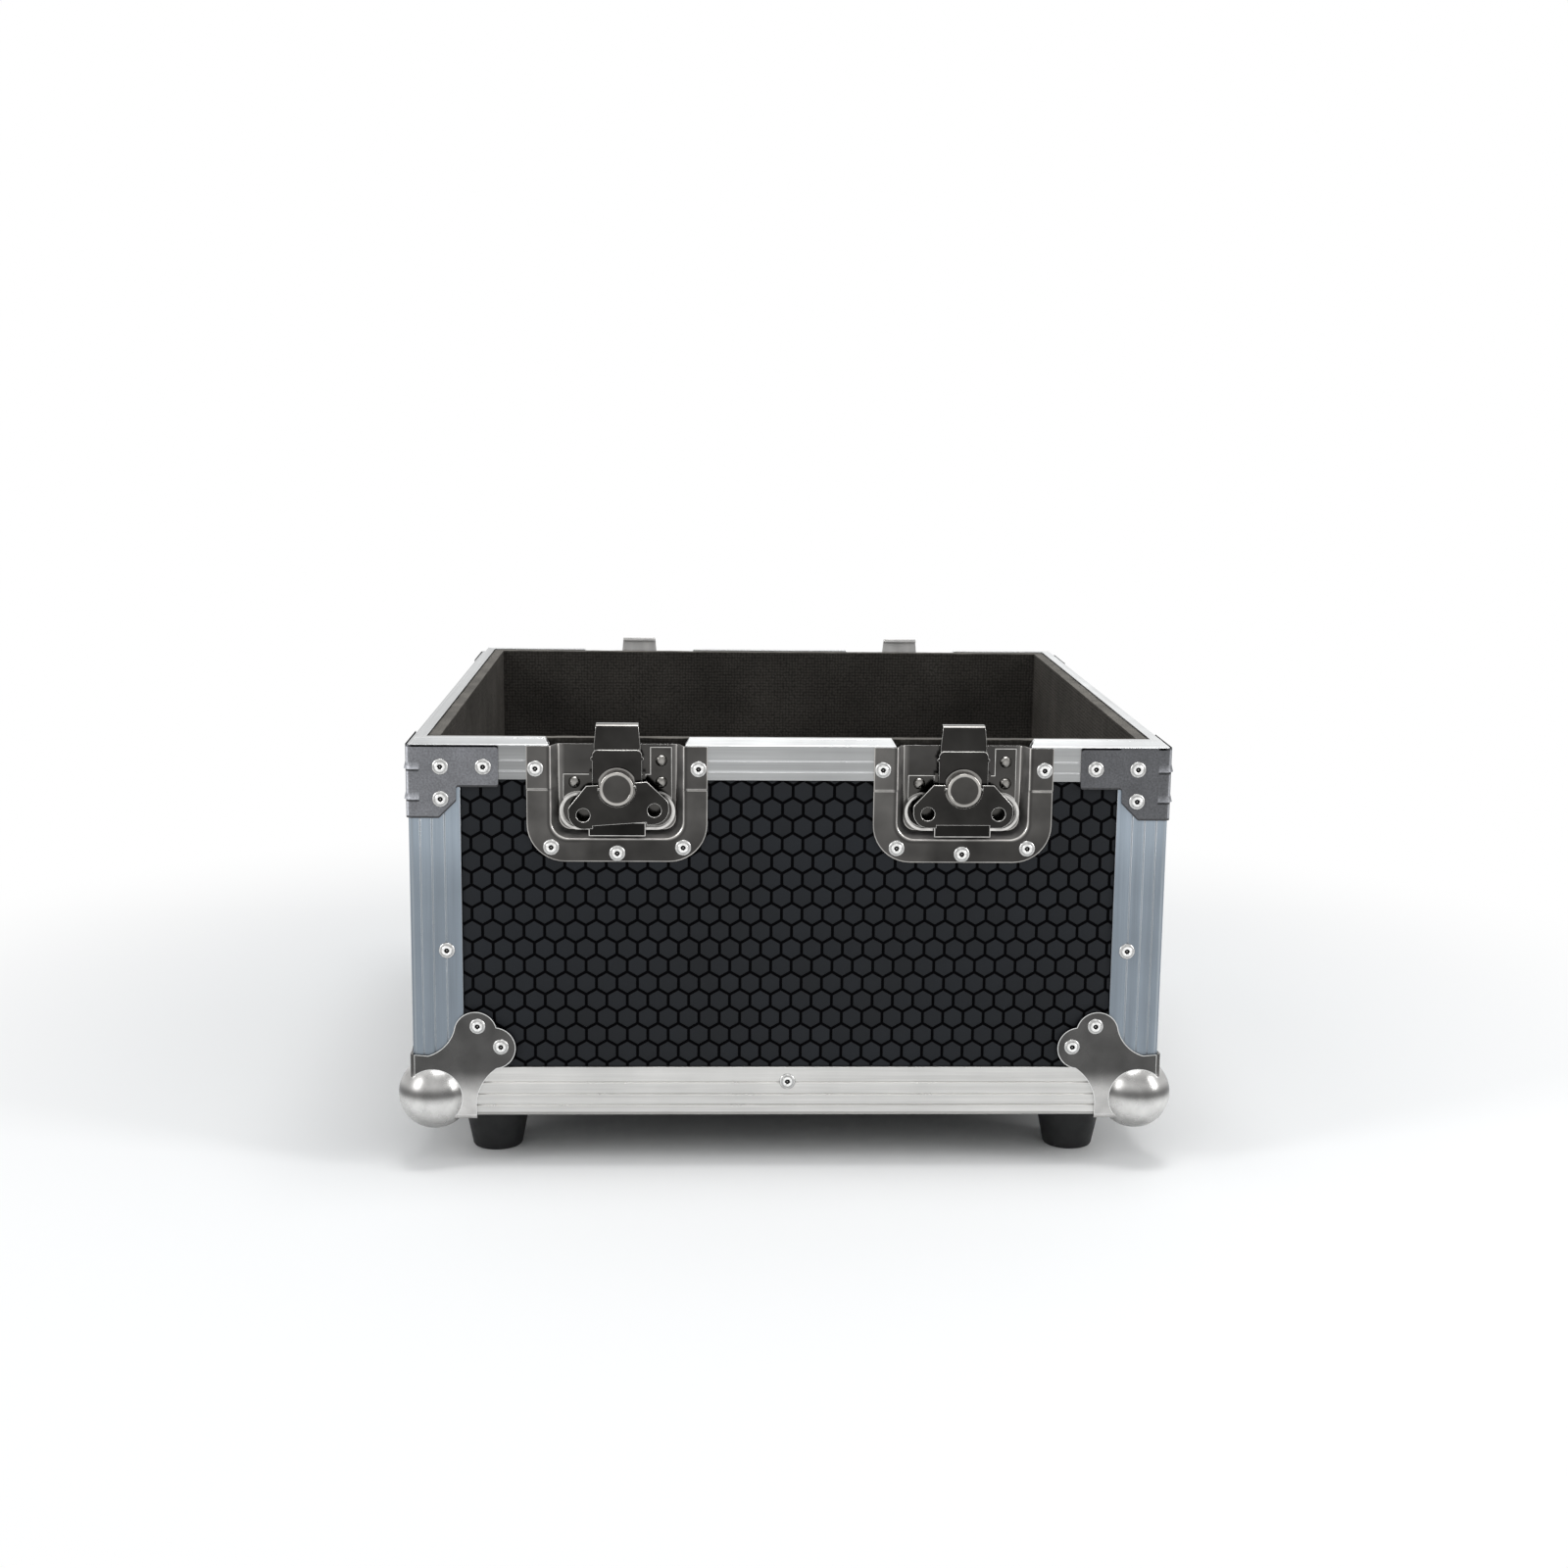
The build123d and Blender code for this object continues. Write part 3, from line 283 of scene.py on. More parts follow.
def joined_groups(items, neighbours):
    """Groups items that are joined to one another, directly or through others."""
    left, groups = set(items), []
    while left:
        group, waiting = [], [left.pop()]
        while waiting:
            item = waiting.pop()
            group.append(item)
            for other in neighbours(item):
                if other in left:
                    left.remove(other)
                    waiting.append(other)
        groups.append(group)
    return groups


def flat_neighbours(face):
    """The faces that lie beside a face in its own plane."""
    beside = [other for edge in face.edges for other in edge.link_faces]
    return [other for other in beside if other.normal.dot(face.normal) > 0.9999]


def round_edges(piece, width, angle, steps=2):
    """Rounds the edges of a piece that turn by more than an angle in degrees."""
    rounding = piece.modifiers.new("rounding", "BEVEL")
    rounding.width = width * MM
    rounding.segments = steps
    rounding.angle_limit = math.radians(angle)
    return rounding


smallest_front = 2e-5  # square metres
narrowest_front = 1.5  # its area to its outline, in widths of the border


def broken_edges(
    node, name, metals, width, body="case", steps=2, smooth=35.0, share_of=None,
    shade_of=None, border=None
):
    """A copy of a CAD node's mesh that stands for the node, with its edges rounded. Metals are its
    own, the one that shows on the edges, most often a brighter copy as a painted highlight, and any
    others that share_of picks faces for. A thin sheet gets a border of that edge metal, this wide,
    round its outward faces and not rounded edges."""
    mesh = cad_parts[node].data.copy()
    mesh.name = name
    mesh.materials.clear()
    for metal in metals:
        mesh.materials.append(metal)
    for attribute in list(mesh.attributes):
        if attribute.name.startswith("custom_normal"):
            mesh.attributes.remove(attribute)
    shape = bmesh.new()
    shape.from_mesh(mesh)
    bmesh.ops.remove_doubles(shape, verts=shape.verts, dist=1e-6)
    bmesh.ops.dissolve_limit(
        shape, angle_limit=math.radians(0.3), verts=shape.verts, edges=shape.edges
    )
    for face in shape.faces:
        centre = face.calc_center_median()
        face.material_index = share_of(centre, face.normal) if share_of else 0
    if border:
        outward = [
            f for f in shape.faces
            if max(abs(f.normal.x), abs(f.normal.y)) > 0.995
            and f.normal.dot(f.calc_center_median()) > 0 and f.material_index == 0
        ]
        fronts = []
        for region in joined_groups(outward, flat_neighbours):
            area = sum(face.calc_area() for face in region)
            sides = {edge for face in region for edge in face.edges}
            outline = sum(
                edge.calc_length() for edge in sides
                if sum(face in region for face in edge.link_faces) == 1
            )
            if area / outline < narrowest_front * border * MM:
                for face in region:
                    face.material_index = 1 if area > smallest_front else 0
            elif area > smallest_front:
                fronts += region
        edged = bmesh.ops.inset_region(
            shape, faces=fronts, thickness=border * MM, use_boundary=True, use_even_offset=False
        )
        for face in edged["faces"]:
            face.material_index = 1
    shape.to_mesh(mesh)
    shape.free()
    shade_mesh(
        mesh, [shade_of(f.center, f.normal) if shade_of else 1.0 for f in mesh.polygons], "FACE"
    )
    piece = put_in_scene(name, mesh)
    if width:
        round_edges(piece, width, 35, steps).material = 1
    mesh.shade_smooth()
    mesh.set_sharp_from_angle(angle=math.radians(smooth))
    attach(piece, body)
    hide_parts(node)
    return piece


corners = ("front_left", "front_right", "back_right", "back_left")
drawn_out = {"x": (60, 1, 1), "y": (1, 60, 1), "z": (1, 1, 60)}


def brushed(name, colour, roughness, axis):
    """Aluminium with fine drawing lines along an axis and soft streaks and smudges."""
    metal = finish(name, colour, roughness, 1.0)
    add_grain(metal, 0.8, stretch=drawn_out[axis], bump=0.012, shade=0.05)
    add_grain(metal, 5, stretch=drawn_out[axis], shade=0.11)
    add_grain(metal, 35, shade=0.06, rough=(roughness - 0.06, roughness + 0.08))
    return metal


def add_fade(material, axis, start, end, first, last):
    """Multiplies the colour by first before start and by last after end, along an axis."""
    tree = material.node_tree
    place = tree.nodes.new("ShaderNodeTexCoord")
    split = tree.nodes.new("ShaderNodeSeparateXYZ")
    tree.links.new(place.outputs["Object"], split.inputs["Vector"])
    fade = spread_out(tree, split.outputs[axis], start, end, first, last)
    fade.interpolation_type = "SMOOTHSTEP"
    scale_colour(material, fade.outputs["Result"])


groove_depths = (0.05, 0.45)


def in_groove(centre, normal):
    """Picks the third metal for faces in the extrusions' shallow grooves: a painted shade,
    darker, on the bottom edges, and a painted highlight, lighter, on the posts and the rim.
    """
    deep = min(case_half - abs(centre.x), case_half - abs(centre.y), centre.z - underside)
    return 2 if groove_depths[0] * MM < deep < groove_depths[1] * MM else 0


def rim_shade(centre, normal):
    """A painted highlight on the rim's top and slope, and painted shade on the left rim."""
    painted_highlight = 1.95 if normal.z > 0.3 else 1.0
    return painted_highlight * (0.7 if abs(centre.x) > abs(centre.y) and centre.x < 0 else 1)


# The second metal of each extrusion, on its rounded edges, is a brighter copy: a painted highlight.
post_metal = brushed("post_aluminium", (0.25, 0.29, 0.332), 0.42, "z")
post_edge = brushed("post_painted_highlights", (0.80, 0.83, 0.85), 0.3, "z")
# Painted light: the posts are painted lighter towards their tops.
for metal in (post_metal, post_edge):
    add_fade(metal, "Z", shoulder - 0.09, shoulder - 0.045, 0.95, 1.3)
post_groove = brushed("post_grooves", (0.30, 0.335, 0.37), 0.5, "z")
for corner in corners:
    name = f"corner_post_{corner}"
    broken_edges(
        name, f"post_{corner}", (post_metal, post_edge, post_groove), 0.45,
        share_of=in_groove,
    )
for side in wall_turns:
    axis = "x" if side in ("front", "back") else "y"
    edge_metals = (
        brushed(f"edge_aluminium_{side}", (0.62, 0.615, 0.60), 0.38, axis),
        brushed(f"edge_painted_highlights_{side}", (0.78, 0.77, 0.75), 0.3, axis),
        brushed(f"edge_grooves_{side}", (0.42, 0.415, 0.40), 0.5, axis),
    )
    rim_metals = (
        brushed(f"rim_aluminium_{side}", (0.378, 0.385, 0.387), 0.36, axis),
        brushed(f"rim_painted_highlights_{side}", (0.80, 0.81, 0.82), 0.3, axis),
        brushed(f"rim_grooves_{side}", (0.56, 0.57, 0.575), 0.4, axis),
    )
    for metal in rim_metals:
        add_shade(metal)
        # The front rim is painted darker towards its left end, a painted shade.
        if side == "front":
            add_fade(metal, "X", -0.19, -0.07, 0.72, 1.0)
    broken_edges(
        f"bottom_edge_{side}", f"edge_{side}", edge_metals, 0.3,
        share_of=in_groove,
    )
    broken_edges(
        f"rim_{side}", f"tongue_rim_{side}", rim_metals, 0.3,
        share_of=in_groove, shade_of=rim_shade,
    )

# Corner brackets of grained grey steel, folded round each post under the rim's shoulder. Two
# short ridges are pressed across the fold of each to stiffen it.
bracket_outline = [
    (52, 0), (52, -23.2), (27.8, -23.2), (27.8, -31.5), (17.9, -41.4), (0, -41.4),
]
bracket_corner = 1.6
bracket_border = 0.45
bracket_sheet = 1.2
bracket_fold = 4.0
ridge_drops = (13.9, 31.6)
ridge_rise = 1.1
ridge_height = 4.2
ridge_half_length = 7.4
ridge_foot = 0.12  # how far below a ridge its foot reaches, as a share of its height
ridge_cuts_across = (4, 5, 6, 6.8, ridge_half_length)
ridge_cuts_down = (-1.7, -1.3, -0.5, 0, 0.6, 1.6, 2.8, ridge_height)
# Painted light: each bracket is lighter or darker for how light falls on its corner.
painted_light_by_corner = {"front_left": 1.1, "front_right": 0.6, "back_right": 0.9, "back_left": 1.05}

bracket_grey = finish("grained_grey", (0.165, 0.168, 0.180), 0.42, 0.4)
add_shade(bracket_grey)
add_grain(bracket_grey, 1.1, bump=0.10, shade=0.26, detail=5)
add_grain(bracket_grey, 12, shade=0.14, rough=(0.34, 0.52))
bracket_edge = finish("dark_bracket_edge", (0.035, 0.035, 0.038), 0.45)
add_grain(bracket_edge, 2, bump=0.03, shade=0.25, rough=(0.25, 0.45))

half_fold = bracket_fold * math.pi / 4
flat_start = bracket_fold - bracket_sheet


def folded(s, z):
    """Wraps a place on the flat blank round a corner, with its ridges pressed outward."""
    lift = 0.0
    for drop in ridge_drops:
        below = (z + drop) / ridge_height
        if -ridge_foot < below < 1 and abs(s) < ridge_half_length:
            rising = 1 - below if below > 0 else 1 + below / ridge_foot
            lift = ridge_rise * rising * (1 - (abs(s) / ridge_half_length) ** 3)
    if abs(s) > half_fold:
        places = (abs(s) - half_fold + flat_start, -bracket_sheet - lift)
        return places if s > 0 else places[::-1]
    angle = s / bracket_fold + math.pi / 4
    reach = bracket_fold + lift
    return flat_start - reach * math.cos(angle), flat_start - reach * math.sin(angle)


def bracket_light_and_shade(s, z):
    """A painted highlight along the fold and on each ridge, and a painted shadow under it."""
    tone = 1 + 3.0 * max(0, 1 - abs(s) / 1.2)
    for drop in ridge_drops:
        below = (z + drop) / ridge_height
        if abs(s) < ridge_half_length - 0.2 and -0.35 < below < 1:
            tone = 0.25 if below < -0.05 else 1 + 1.6 * (1 - below)
    return tone


def rounded(outline, radius):
    """An outline in which each corner is cut back and turned through a few short steps."""
    smooth = []
    befores, afters = outline[-1:] + outline[:-1], outline[1:] + outline[:1]
    for before, corner, after in zip(befores, outline, afters):
        back, on = (Vector(before) - Vector(corner)), (Vector(after) - Vector(corner))
        turn = back.angle(on)
        if turn > math.radians(150):
            smooth.append(corner)
            continue
        cut = min(radius / math.tan(turn / 2), back.length / 2.2, on.length / 2.2)
        start = Vector(corner) + back.normalized() * cut
        end = Vector(corner) + on.normalized() * cut
        for k in range(5):
            t = k / 4
            point = start * (1 - t) ** 2 + Vector(corner) * 2 * t * (1 - t) + end * t * t
            smooth.append((point.x, point.y))
    return smooth


right_arm = [(x + half_fold - flat_start, z) for x, z in bracket_outline if x]
outline = [(-s, z) for s, z in reversed(right_arm)] + right_arm
bracket_blank = bmesh.new()
blank_face = bracket_blank.faces.new(
    [bracket_blank.verts.new((s, z, 0)) for s, z in rounded(outline, bracket_corner)]
)
bracket_blank.faces.ensure_lookup_table()
bare = bmesh.ops.inset_region(
    bracket_blank, faces=[blank_face], thickness=bracket_border, use_boundary=True,
    use_even_offset=True,
)
for face in bare["faces"]:
    face.material_index = 1
cuts = [((half_fold * k / 8, 0, 0), (1, 0, 0)) for k in range(-8, 9)]
cuts += [((s * way, 0, 0), (1, 0, 0)) for s in ridge_cuts_across for way in (-1, 1)]
for drop in ridge_drops:
    cuts += [((0, step - drop, 0), (0, 1, 0)) for step in ridge_cuts_down]
for place, direction in cuts:
    bmesh.ops.bisect_plane(
        bracket_blank,
        geom=bracket_blank.verts[:] + bracket_blank.edges[:] + bracket_blank.faces[:],
        plane_co=place,
        plane_no=direction,
    )
bracket_blank.verts.index_update()
blank_points = [tuple(v.co[:2]) for v in bracket_blank.verts]
blank_faces = [tuple(v.index for v in f.verts) for f in bracket_blank.faces]
blank_metals = [f.material_index for f in bracket_blank.faces]
bracket_blank.free()


def thicken(piece, thickness):
    """Gives a surface the thickness of its sheet, behind it."""
    sheet = piece.modifiers.new("sheet", "SOLIDIFY")
    sheet.thickness = thickness * MM
    sheet.offset = -1
    return sheet


def face_outward(piece, outward):
    """Turns an open surface over if its front faces the wrong way."""
    if sum(f.normal.dot(outward) * f.area for f in piece.data.polygons) < 0:
        piece.data.flip_normals()


for quarter, corner in enumerate(corners):
    spin = Matrix.Rotation(math.radians(90 * quarter), 3, "Z")
    origin = spin @ Vector((-case_half, -case_half, 0)) + Vector((0, 0, shoulder))
    points = [origin + spin @ Vector((*folded(s, z), z)) * MM for s, z in blank_points]
    piece = add_piece(
        f"bracket_{corner}", points, blank_faces, bracket_grey, smooth=40
    )
    piece.data.materials.append(bracket_edge)
    piece.data.polygons.foreach_set("material_index", blank_metals)
    shade_mesh(piece.data, [painted_light_by_corner[corner] * bracket_light_and_shade(s, z) for s, z in blank_points])
    face_outward(piece, spin @ Vector((-1, -1, 0)))
    thicken(piece, bracket_sheet).material_offset_rim = 1
    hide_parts(f"corner_bracket_{corner}")

# Ball corners of bright zinc-plated steel: a pressed ball with a leg on each face of the
# corner, which spreads into two lobes and is riveted through to the extrusions.
ball_centre_inset = 11.5
ball_radius = 21.5
ball_slack = 0.2
leg_border = 0.45
# Painted reflection on the ball: its colour, band by band, from its bottom to its top.
ball_reflection_bands = (
    (0.0, 0.36), (0.10, 0.46), (0.22, 0.57), (0.34, 0.68), (0.45, 0.74), (0.51, 0.55), (0.56, 0.14),
    (0.62, 0.13), (0.68, 0.40), (0.74, 0.44), (0.80, 0.34), (0.87, 0.56), (0.93, 0.66), (1.0, 0.50),
)


def add_reflection_bands(material, bands):
    """A painted reflection: bands of colour by how far up a face looks, bottom to top."""
    tree = material.node_tree
    colour = tree.nodes["Principled BSDF"].inputs["Base Color"]
    facing = tree.nodes.new("ShaderNodeNewGeometry")
    split = tree.nodes.new("ShaderNodeSeparateXYZ")
    tree.links.new(facing.outputs["Normal"], split.inputs["Vector"])
    upward = spread_out(tree, split.outputs["Z"], -1, 1, 0, 1)
    ramp = tree.nodes.new("ShaderNodeValToRGB")
    ramp.color_ramp.interpolation = "B_SPLINE"
    for place, tone in bands[1:-1]:
        ramp.color_ramp.elements.new(place).color = (tone, tone * 0.99, tone * 0.97, 1)
    for end, (place, tone) in ((0, bands[0]), (-1, bands[-1])):
        ramp.color_ramp.elements[end].color = (tone, tone * 0.99, tone * 0.97, 1)
    tree.links.new(upward.outputs["Result"], ramp.inputs["Fac"])
    tree.links.new(ramp.outputs["Color"], colour)


# The legs are painted dark and much lighter near their feet, a painted reflection; their border is
# a painted highlight.
leg_metal = finish("zinc_legs_painted_reflection", (0.089, 0.0875, 0.0855), 0.24, 1.0)
add_fade(leg_metal, "Z", underside + 0.012, underside + 0.029, 6.5, 1.0)
add_grain(leg_metal, 0.5, bump=0.006, shade=0.05)
add_grain(leg_metal, 16, shade=0.2, rough=(0.18, 0.32))
leg_edge = finish("zinc_edges_painted_highlight", (0.72, 0.72, 0.71), 0.25, 1.0)
add_grain(leg_edge, 3, shade=0.12, rough=(0.2, 0.35))
ball_metal = finish("zinc_ball_painted_reflection", (0.5, 0.5, 0.49), 0.26, 1.0)
add_reflection_bands(ball_metal, ball_reflection_bands)
add_grain(ball_metal, 0.5, bump=0.006, shade=0.03)
add_grain(ball_metal, 10, shade=0.16, rough=(0.22, 0.36))


def on_ball(centre, normal):
    """Picks the ball's own metal for the faces that lie on the ball."""
    inset = case_half - ball_centre_inset * MM
    middle = Vector((math.copysign(inset, centre.x), math.copysign(inset, centre.y), 0))
    middle.z = underside + ball_centre_inset * MM
    return 2 if (centre - middle).length < (ball_radius + ball_slack) * MM else 0


for corner in corners:
    broken_edges(
        f"ball_corner_{corner}", f"ball_{corner}", (leg_metal, leg_edge, ball_metal), 0,
        smooth=50, share_of=on_ball, border=leg_border,
    )

# Tapered rubber feet, each screwed up through the corner's leg with a washer in its well.
foot_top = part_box("rubber_feet")[1].z / MM
foot_inset = 45
foot_profile = [
    (8, 19), (8, 0.8), (8.4, 0.2), (9, 0), (13.6, 0), (14.5, 0.35), (15.05, 1.3), (15.25, 2.6),
    (20.2, foot_top - 3.2), (20.7, foot_top - 2.2), (21, foot_top - 1.2), (21, foot_top),
    (8, foot_top), (2.8, foot_top), (2.8, 19), (8, 19),
]
rubber = finish("black_rubber", (0.005, 0.0054, 0.006), 0.6)
add_grain(rubber, 0.7, bump=0.03, shade=0.15)
add_grain(rubber, 9, shade=0.2, rough=(0.45, 0.7))
screw_metal = finish("plated_screws", (0.55, 0.55, 0.53), 0.35, 1.0)
add_grain(screw_metal, 1.5, bump=0.01, shade=0.1, rough=(0.3, 0.5))


def turned(profile, steps):
    """Points and faces of a profile of radius and height, spun about the upright axis."""
    points, faces = [], []
    for k in range(steps):
        angle = 2 * math.pi * k / steps
        points += [(r * math.cos(angle), r * math.sin(angle), h) for r, h in profile]
    count = len(profile)
    for k in range(steps):
        here, there = k * count, (k + 1) % steps * count
        for j in range(count - 1):
            faces.append((here + j, there + j, there + j + 1, here + j + 1))
    return points, faces


points, faces = [], []
foot_points, foot_faces = turned(foot_profile, 64)
for x in (-1, 1):
    for y in (-1, 1):
        centre = Vector((x, y, 0)) * (case_half - foot_inset * MM)
        faces += [tuple(i + len(points) for i in f) for f in foot_faces]
        points += [centre + Vector(p) * MM for p in foot_points]
feet = add_piece("feet", points, faces, rubber)
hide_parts("rubber_feet")
paint("foot_washers", screw_metal)
paint("foot_screws", screw_metal)

# Foam lining: slabs cut by hand from dark open-cell foam, glued inside the plywood. Their cut
# top edges are paler and rough, and their faces have a fine woven skin.
foam_clearance = 0.00012
foam_edge = 0.35
# Painted light: each foam wall is lighter or darker, the side walls most, for how light falls on
# it.
foam_painted_light = {"front": 1.15, "back": 1.2, "left": 2.35, "right": 2.4, "floor": 1.0}


def add_weave(material, pitch, depth, shade):
    """A fine woven face: small knots that stand out, a little darker between them."""
    tree = material.node_tree
    shader = tree.nodes["Principled BSDF"]
    place = tree.nodes.new("ShaderNodeTexCoord")
    knots = tree.nodes.new("ShaderNodeTexVoronoi")
    knots.inputs["Scale"].default_value = 1 / (pitch * MM)
    knots.inputs["Randomness"].default_value = 0.35
    tree.links.new(place.outputs["Object"], knots.inputs["Vector"])
    dents = tree.nodes.new("ShaderNodeBump")
    dents.inputs["Distance"].default_value = depth * MM
    dents.invert = True
    tree.links.new(knots.outputs["Distance"], dents.inputs["Height"])
    tree.links.new(dents.outputs["Normal"], shader.inputs["Normal"])
    darker = spread_out(tree, knots.outputs["Distance"], 0, 0.7, 1 + shade, 1 - shade)
    scale_colour(material, darker.outputs["Result"])


foam_skin = finish("foam_skin", (0.030, 0.0275, 0.0245), 0.95, shine=0.1)
add_weave(foam_skin, 2.2, 0.35, 0.45)
add_shade(foam_skin)
add_grain(foam_skin, 0.9, bump=0.15, shade=0.25, detail=4)
add_grain(foam_skin, 45, shade=0.25)
foam_cut = finish("cut_foam", (0.112, 0.104, 0.092), 0.95)
add_grain(foam_cut, 1.2, bump=0.4, shade=0.4, detail=5)
add_grain(foam_cut, 18, shade=0.3)


def grid_square(p, q, turned_over=False):
    """The corners of one square of a grid, in order one way round or the other."""
    square = ((p, q), (p + 1, q), (p + 1, q + 1), (p, q + 1))
    return square[:1] + square[:0:-1] if turned_over else square


def foam_slab(node, step, wander, cut_up):
    """A slab as large as its CAD solid, divided evenly, with its faces a little uneven."""
    low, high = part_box(node)
    clear = Vector((foam_clearance,) * 3)
    low, high = low + clear, high - clear
    size = high - low
    counts = [max(1, round(size[k] / (step * MM))) for k in range(3)]
    points, faces, found = [], [], {}

    def point(i, j, k):
        if (i, j, k) not in found:
            share = (i / counts[0], j / counts[1], k / counts[2])
            place = Vector([low[n] + size[n] * share[n] for n in range(3)])
            drift = noise.noise_vector(place * 60) * 0.7 + noise.noise_vector(place * 230) * 0.3
            for n in range(3):
                if share[n] == 0:
                    place[n] += abs(drift[n]) * wander * MM
                elif share[n] == 1:
                    place[n] -= abs(drift[n]) * wander * MM
            found[(i, j, k)] = len(points)
            points.append(place)
        return found[(i, j, k)]

    a, b, c = counts
    tops = []
    for i in range(a):
        for j in range(b):
            faces.append(tuple(point(x, y, 0) for x, y in grid_square(i, j, True)))
            tops.append(len(faces))
            faces.append(tuple(point(x, y, c) for x, y in grid_square(i, j)))
    for i in range(a):
        for k in range(c):
            faces.append(tuple(point(x, 0, z) for x, z in grid_square(i, k)))
            faces.append(tuple(point(x, b, z) for x, z in grid_square(i, k, True)))
    for j in range(b):
        for k in range(c):
            faces.append(tuple(point(0, y, z) for y, z in grid_square(j, k, True)))
            faces.append(tuple(point(a, y, z) for y, z in grid_square(j, k)))
    side = node.removeprefix("foam_")
    piece = add_piece(f"lining_{side}", points, faces, foam_skin, smooth=60)
    piece.data.materials.append(foam_cut)
    shade_mesh(piece.data, [foam_painted_light[side]] * len(points))
    if cut_up:
        for index in tops:
            piece.data.polygons[index].material_index = 1
    round_edges(piece, foam_edge, 60)
    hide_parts(node)


for side in wall_turns:
    foam_slab(f"foam_{side}", 3.0, 0.5, True)
foam_slab("foam_floor", 8.0, 0.6, False)

# Latch dishes, pressed from shiny nickelled steel. A wide flange, stepped where it runs down
# off the rim, is turned in over a soft lip to a flat floor, and the pan is open at the top.
dish_half = 52.0
dish_drop = 68.2
dish_corner = 22.0
opening_half = 38.0
opening_drop = 54.7
opening_corner = 9.5
dish_top = -0.45
pan_floor = 8.8
pan_draft = 4.5
pan_foot = 1.6
bend_share = 0.78  # of a quarter turn, at the lip and at the foot of the pan's wall
lip_radius = 1.7
dish_sheet = 1.0
dish_edge = 0.3
step_drop = (-25.0, -26.6)
flange_marks = (
    -4, -10, -16, -21, -24.4, -24.8, -25.2, -25.6, -26.0, -26.4, -26.8, -27.4, -32, -38,
)
flange_high = -1.0
flange_low = 0.3
latches = {
    "front_left": ("front", -latch_reach), "front_right": ("front", latch_reach),
    "back_right": ("back", -latch_reach), "back_left": ("back", latch_reach),
}

# Painted highlights along the lip and the foot of the pan's wall: multipliers of the nickel's
# colour, ring by ring.
lip_tones = (1.0, 1.6, 3.5, 9.0, 14.0, 8.0, 3.0)
foot_tones = (3.0, 3.0, 3.5, 5.0, 10.0, 3.0)

# The nickel, and the pan's wall too, is painted dark, a painted reflection of dark surroundings;
# its brighter copy on the rounded edges is a painted highlight.
nickel = finish("nickel_painted_reflection", (0.050, 0.0485, 0.0465), 0.16, 1.0)
add_shade(nickel)
add_grain(nickel, 24, shade=0.3, rough=(0.12, 0.22))
add_grain(nickel, 6, bump=0.05, detail=2)
nickel_edge = finish("nickel_edges_painted_highlight", (0.64, 0.63, 0.61), 0.2, 1.0)
add_grain(nickel_edge, 5, shade=0.2, rough=(0.15, 0.3))
pan_wall = finish("dull_pan_wall", (0.05, 0.048, 0.046), 0.55, 0.5)
add_shade(pan_wall)
add_grain(pan_wall, 9, shade=0.25, rough=(0.45, 0.65))


def smooth_step(value, start, end):
    """0 before start and 1 after end, with an easy curve between them."""
    share = min(1, max(0, (value - start) / (end - start)))
    return share * share * (3 - 2 * share)


def flange_painted_reflection(u, v):
    """A painted reflection: lighter above the step and on the left, darker low down,
    with a painted highlight along the step itself.
    """
    if step_drop[1] < v < step_drop[0] - 0.1:
        return 9.0
    if v > step_drop[0]:
        return 2.4 if u < 0 else 1.6
    low = smooth_step(-v, 46, 62)
    return (2.1 if u < 0 else 1.6) * (1 - low) + (1.5 if u < -18 else 0.9) * low


def u_shape(half, drop, corner, top, marks):
    """Places down the left leg of a U, round its corners and up the right leg."""
    turn = 10
    ends = -drop + corner
    heights = [top] + [m for m in marks if ends + 1 < m < top - 0.5]
    left = [(-half, v) for v in heights] + [(-half, ends)]
    curve = [
        (-half + corner * (1 - math.cos(a)), ends - corner * math.sin(a))
        for a in [math.pi / 2 * k / turn for k in range(1, turn + 1)]
    ]
    low = [((-half + corner) * (1 - k / 4), -drop) for k in range(1, 4)]
    first = left + curve + low
    return first + [(0, -drop)] + [(-u, v) for u, v in reversed(first)]


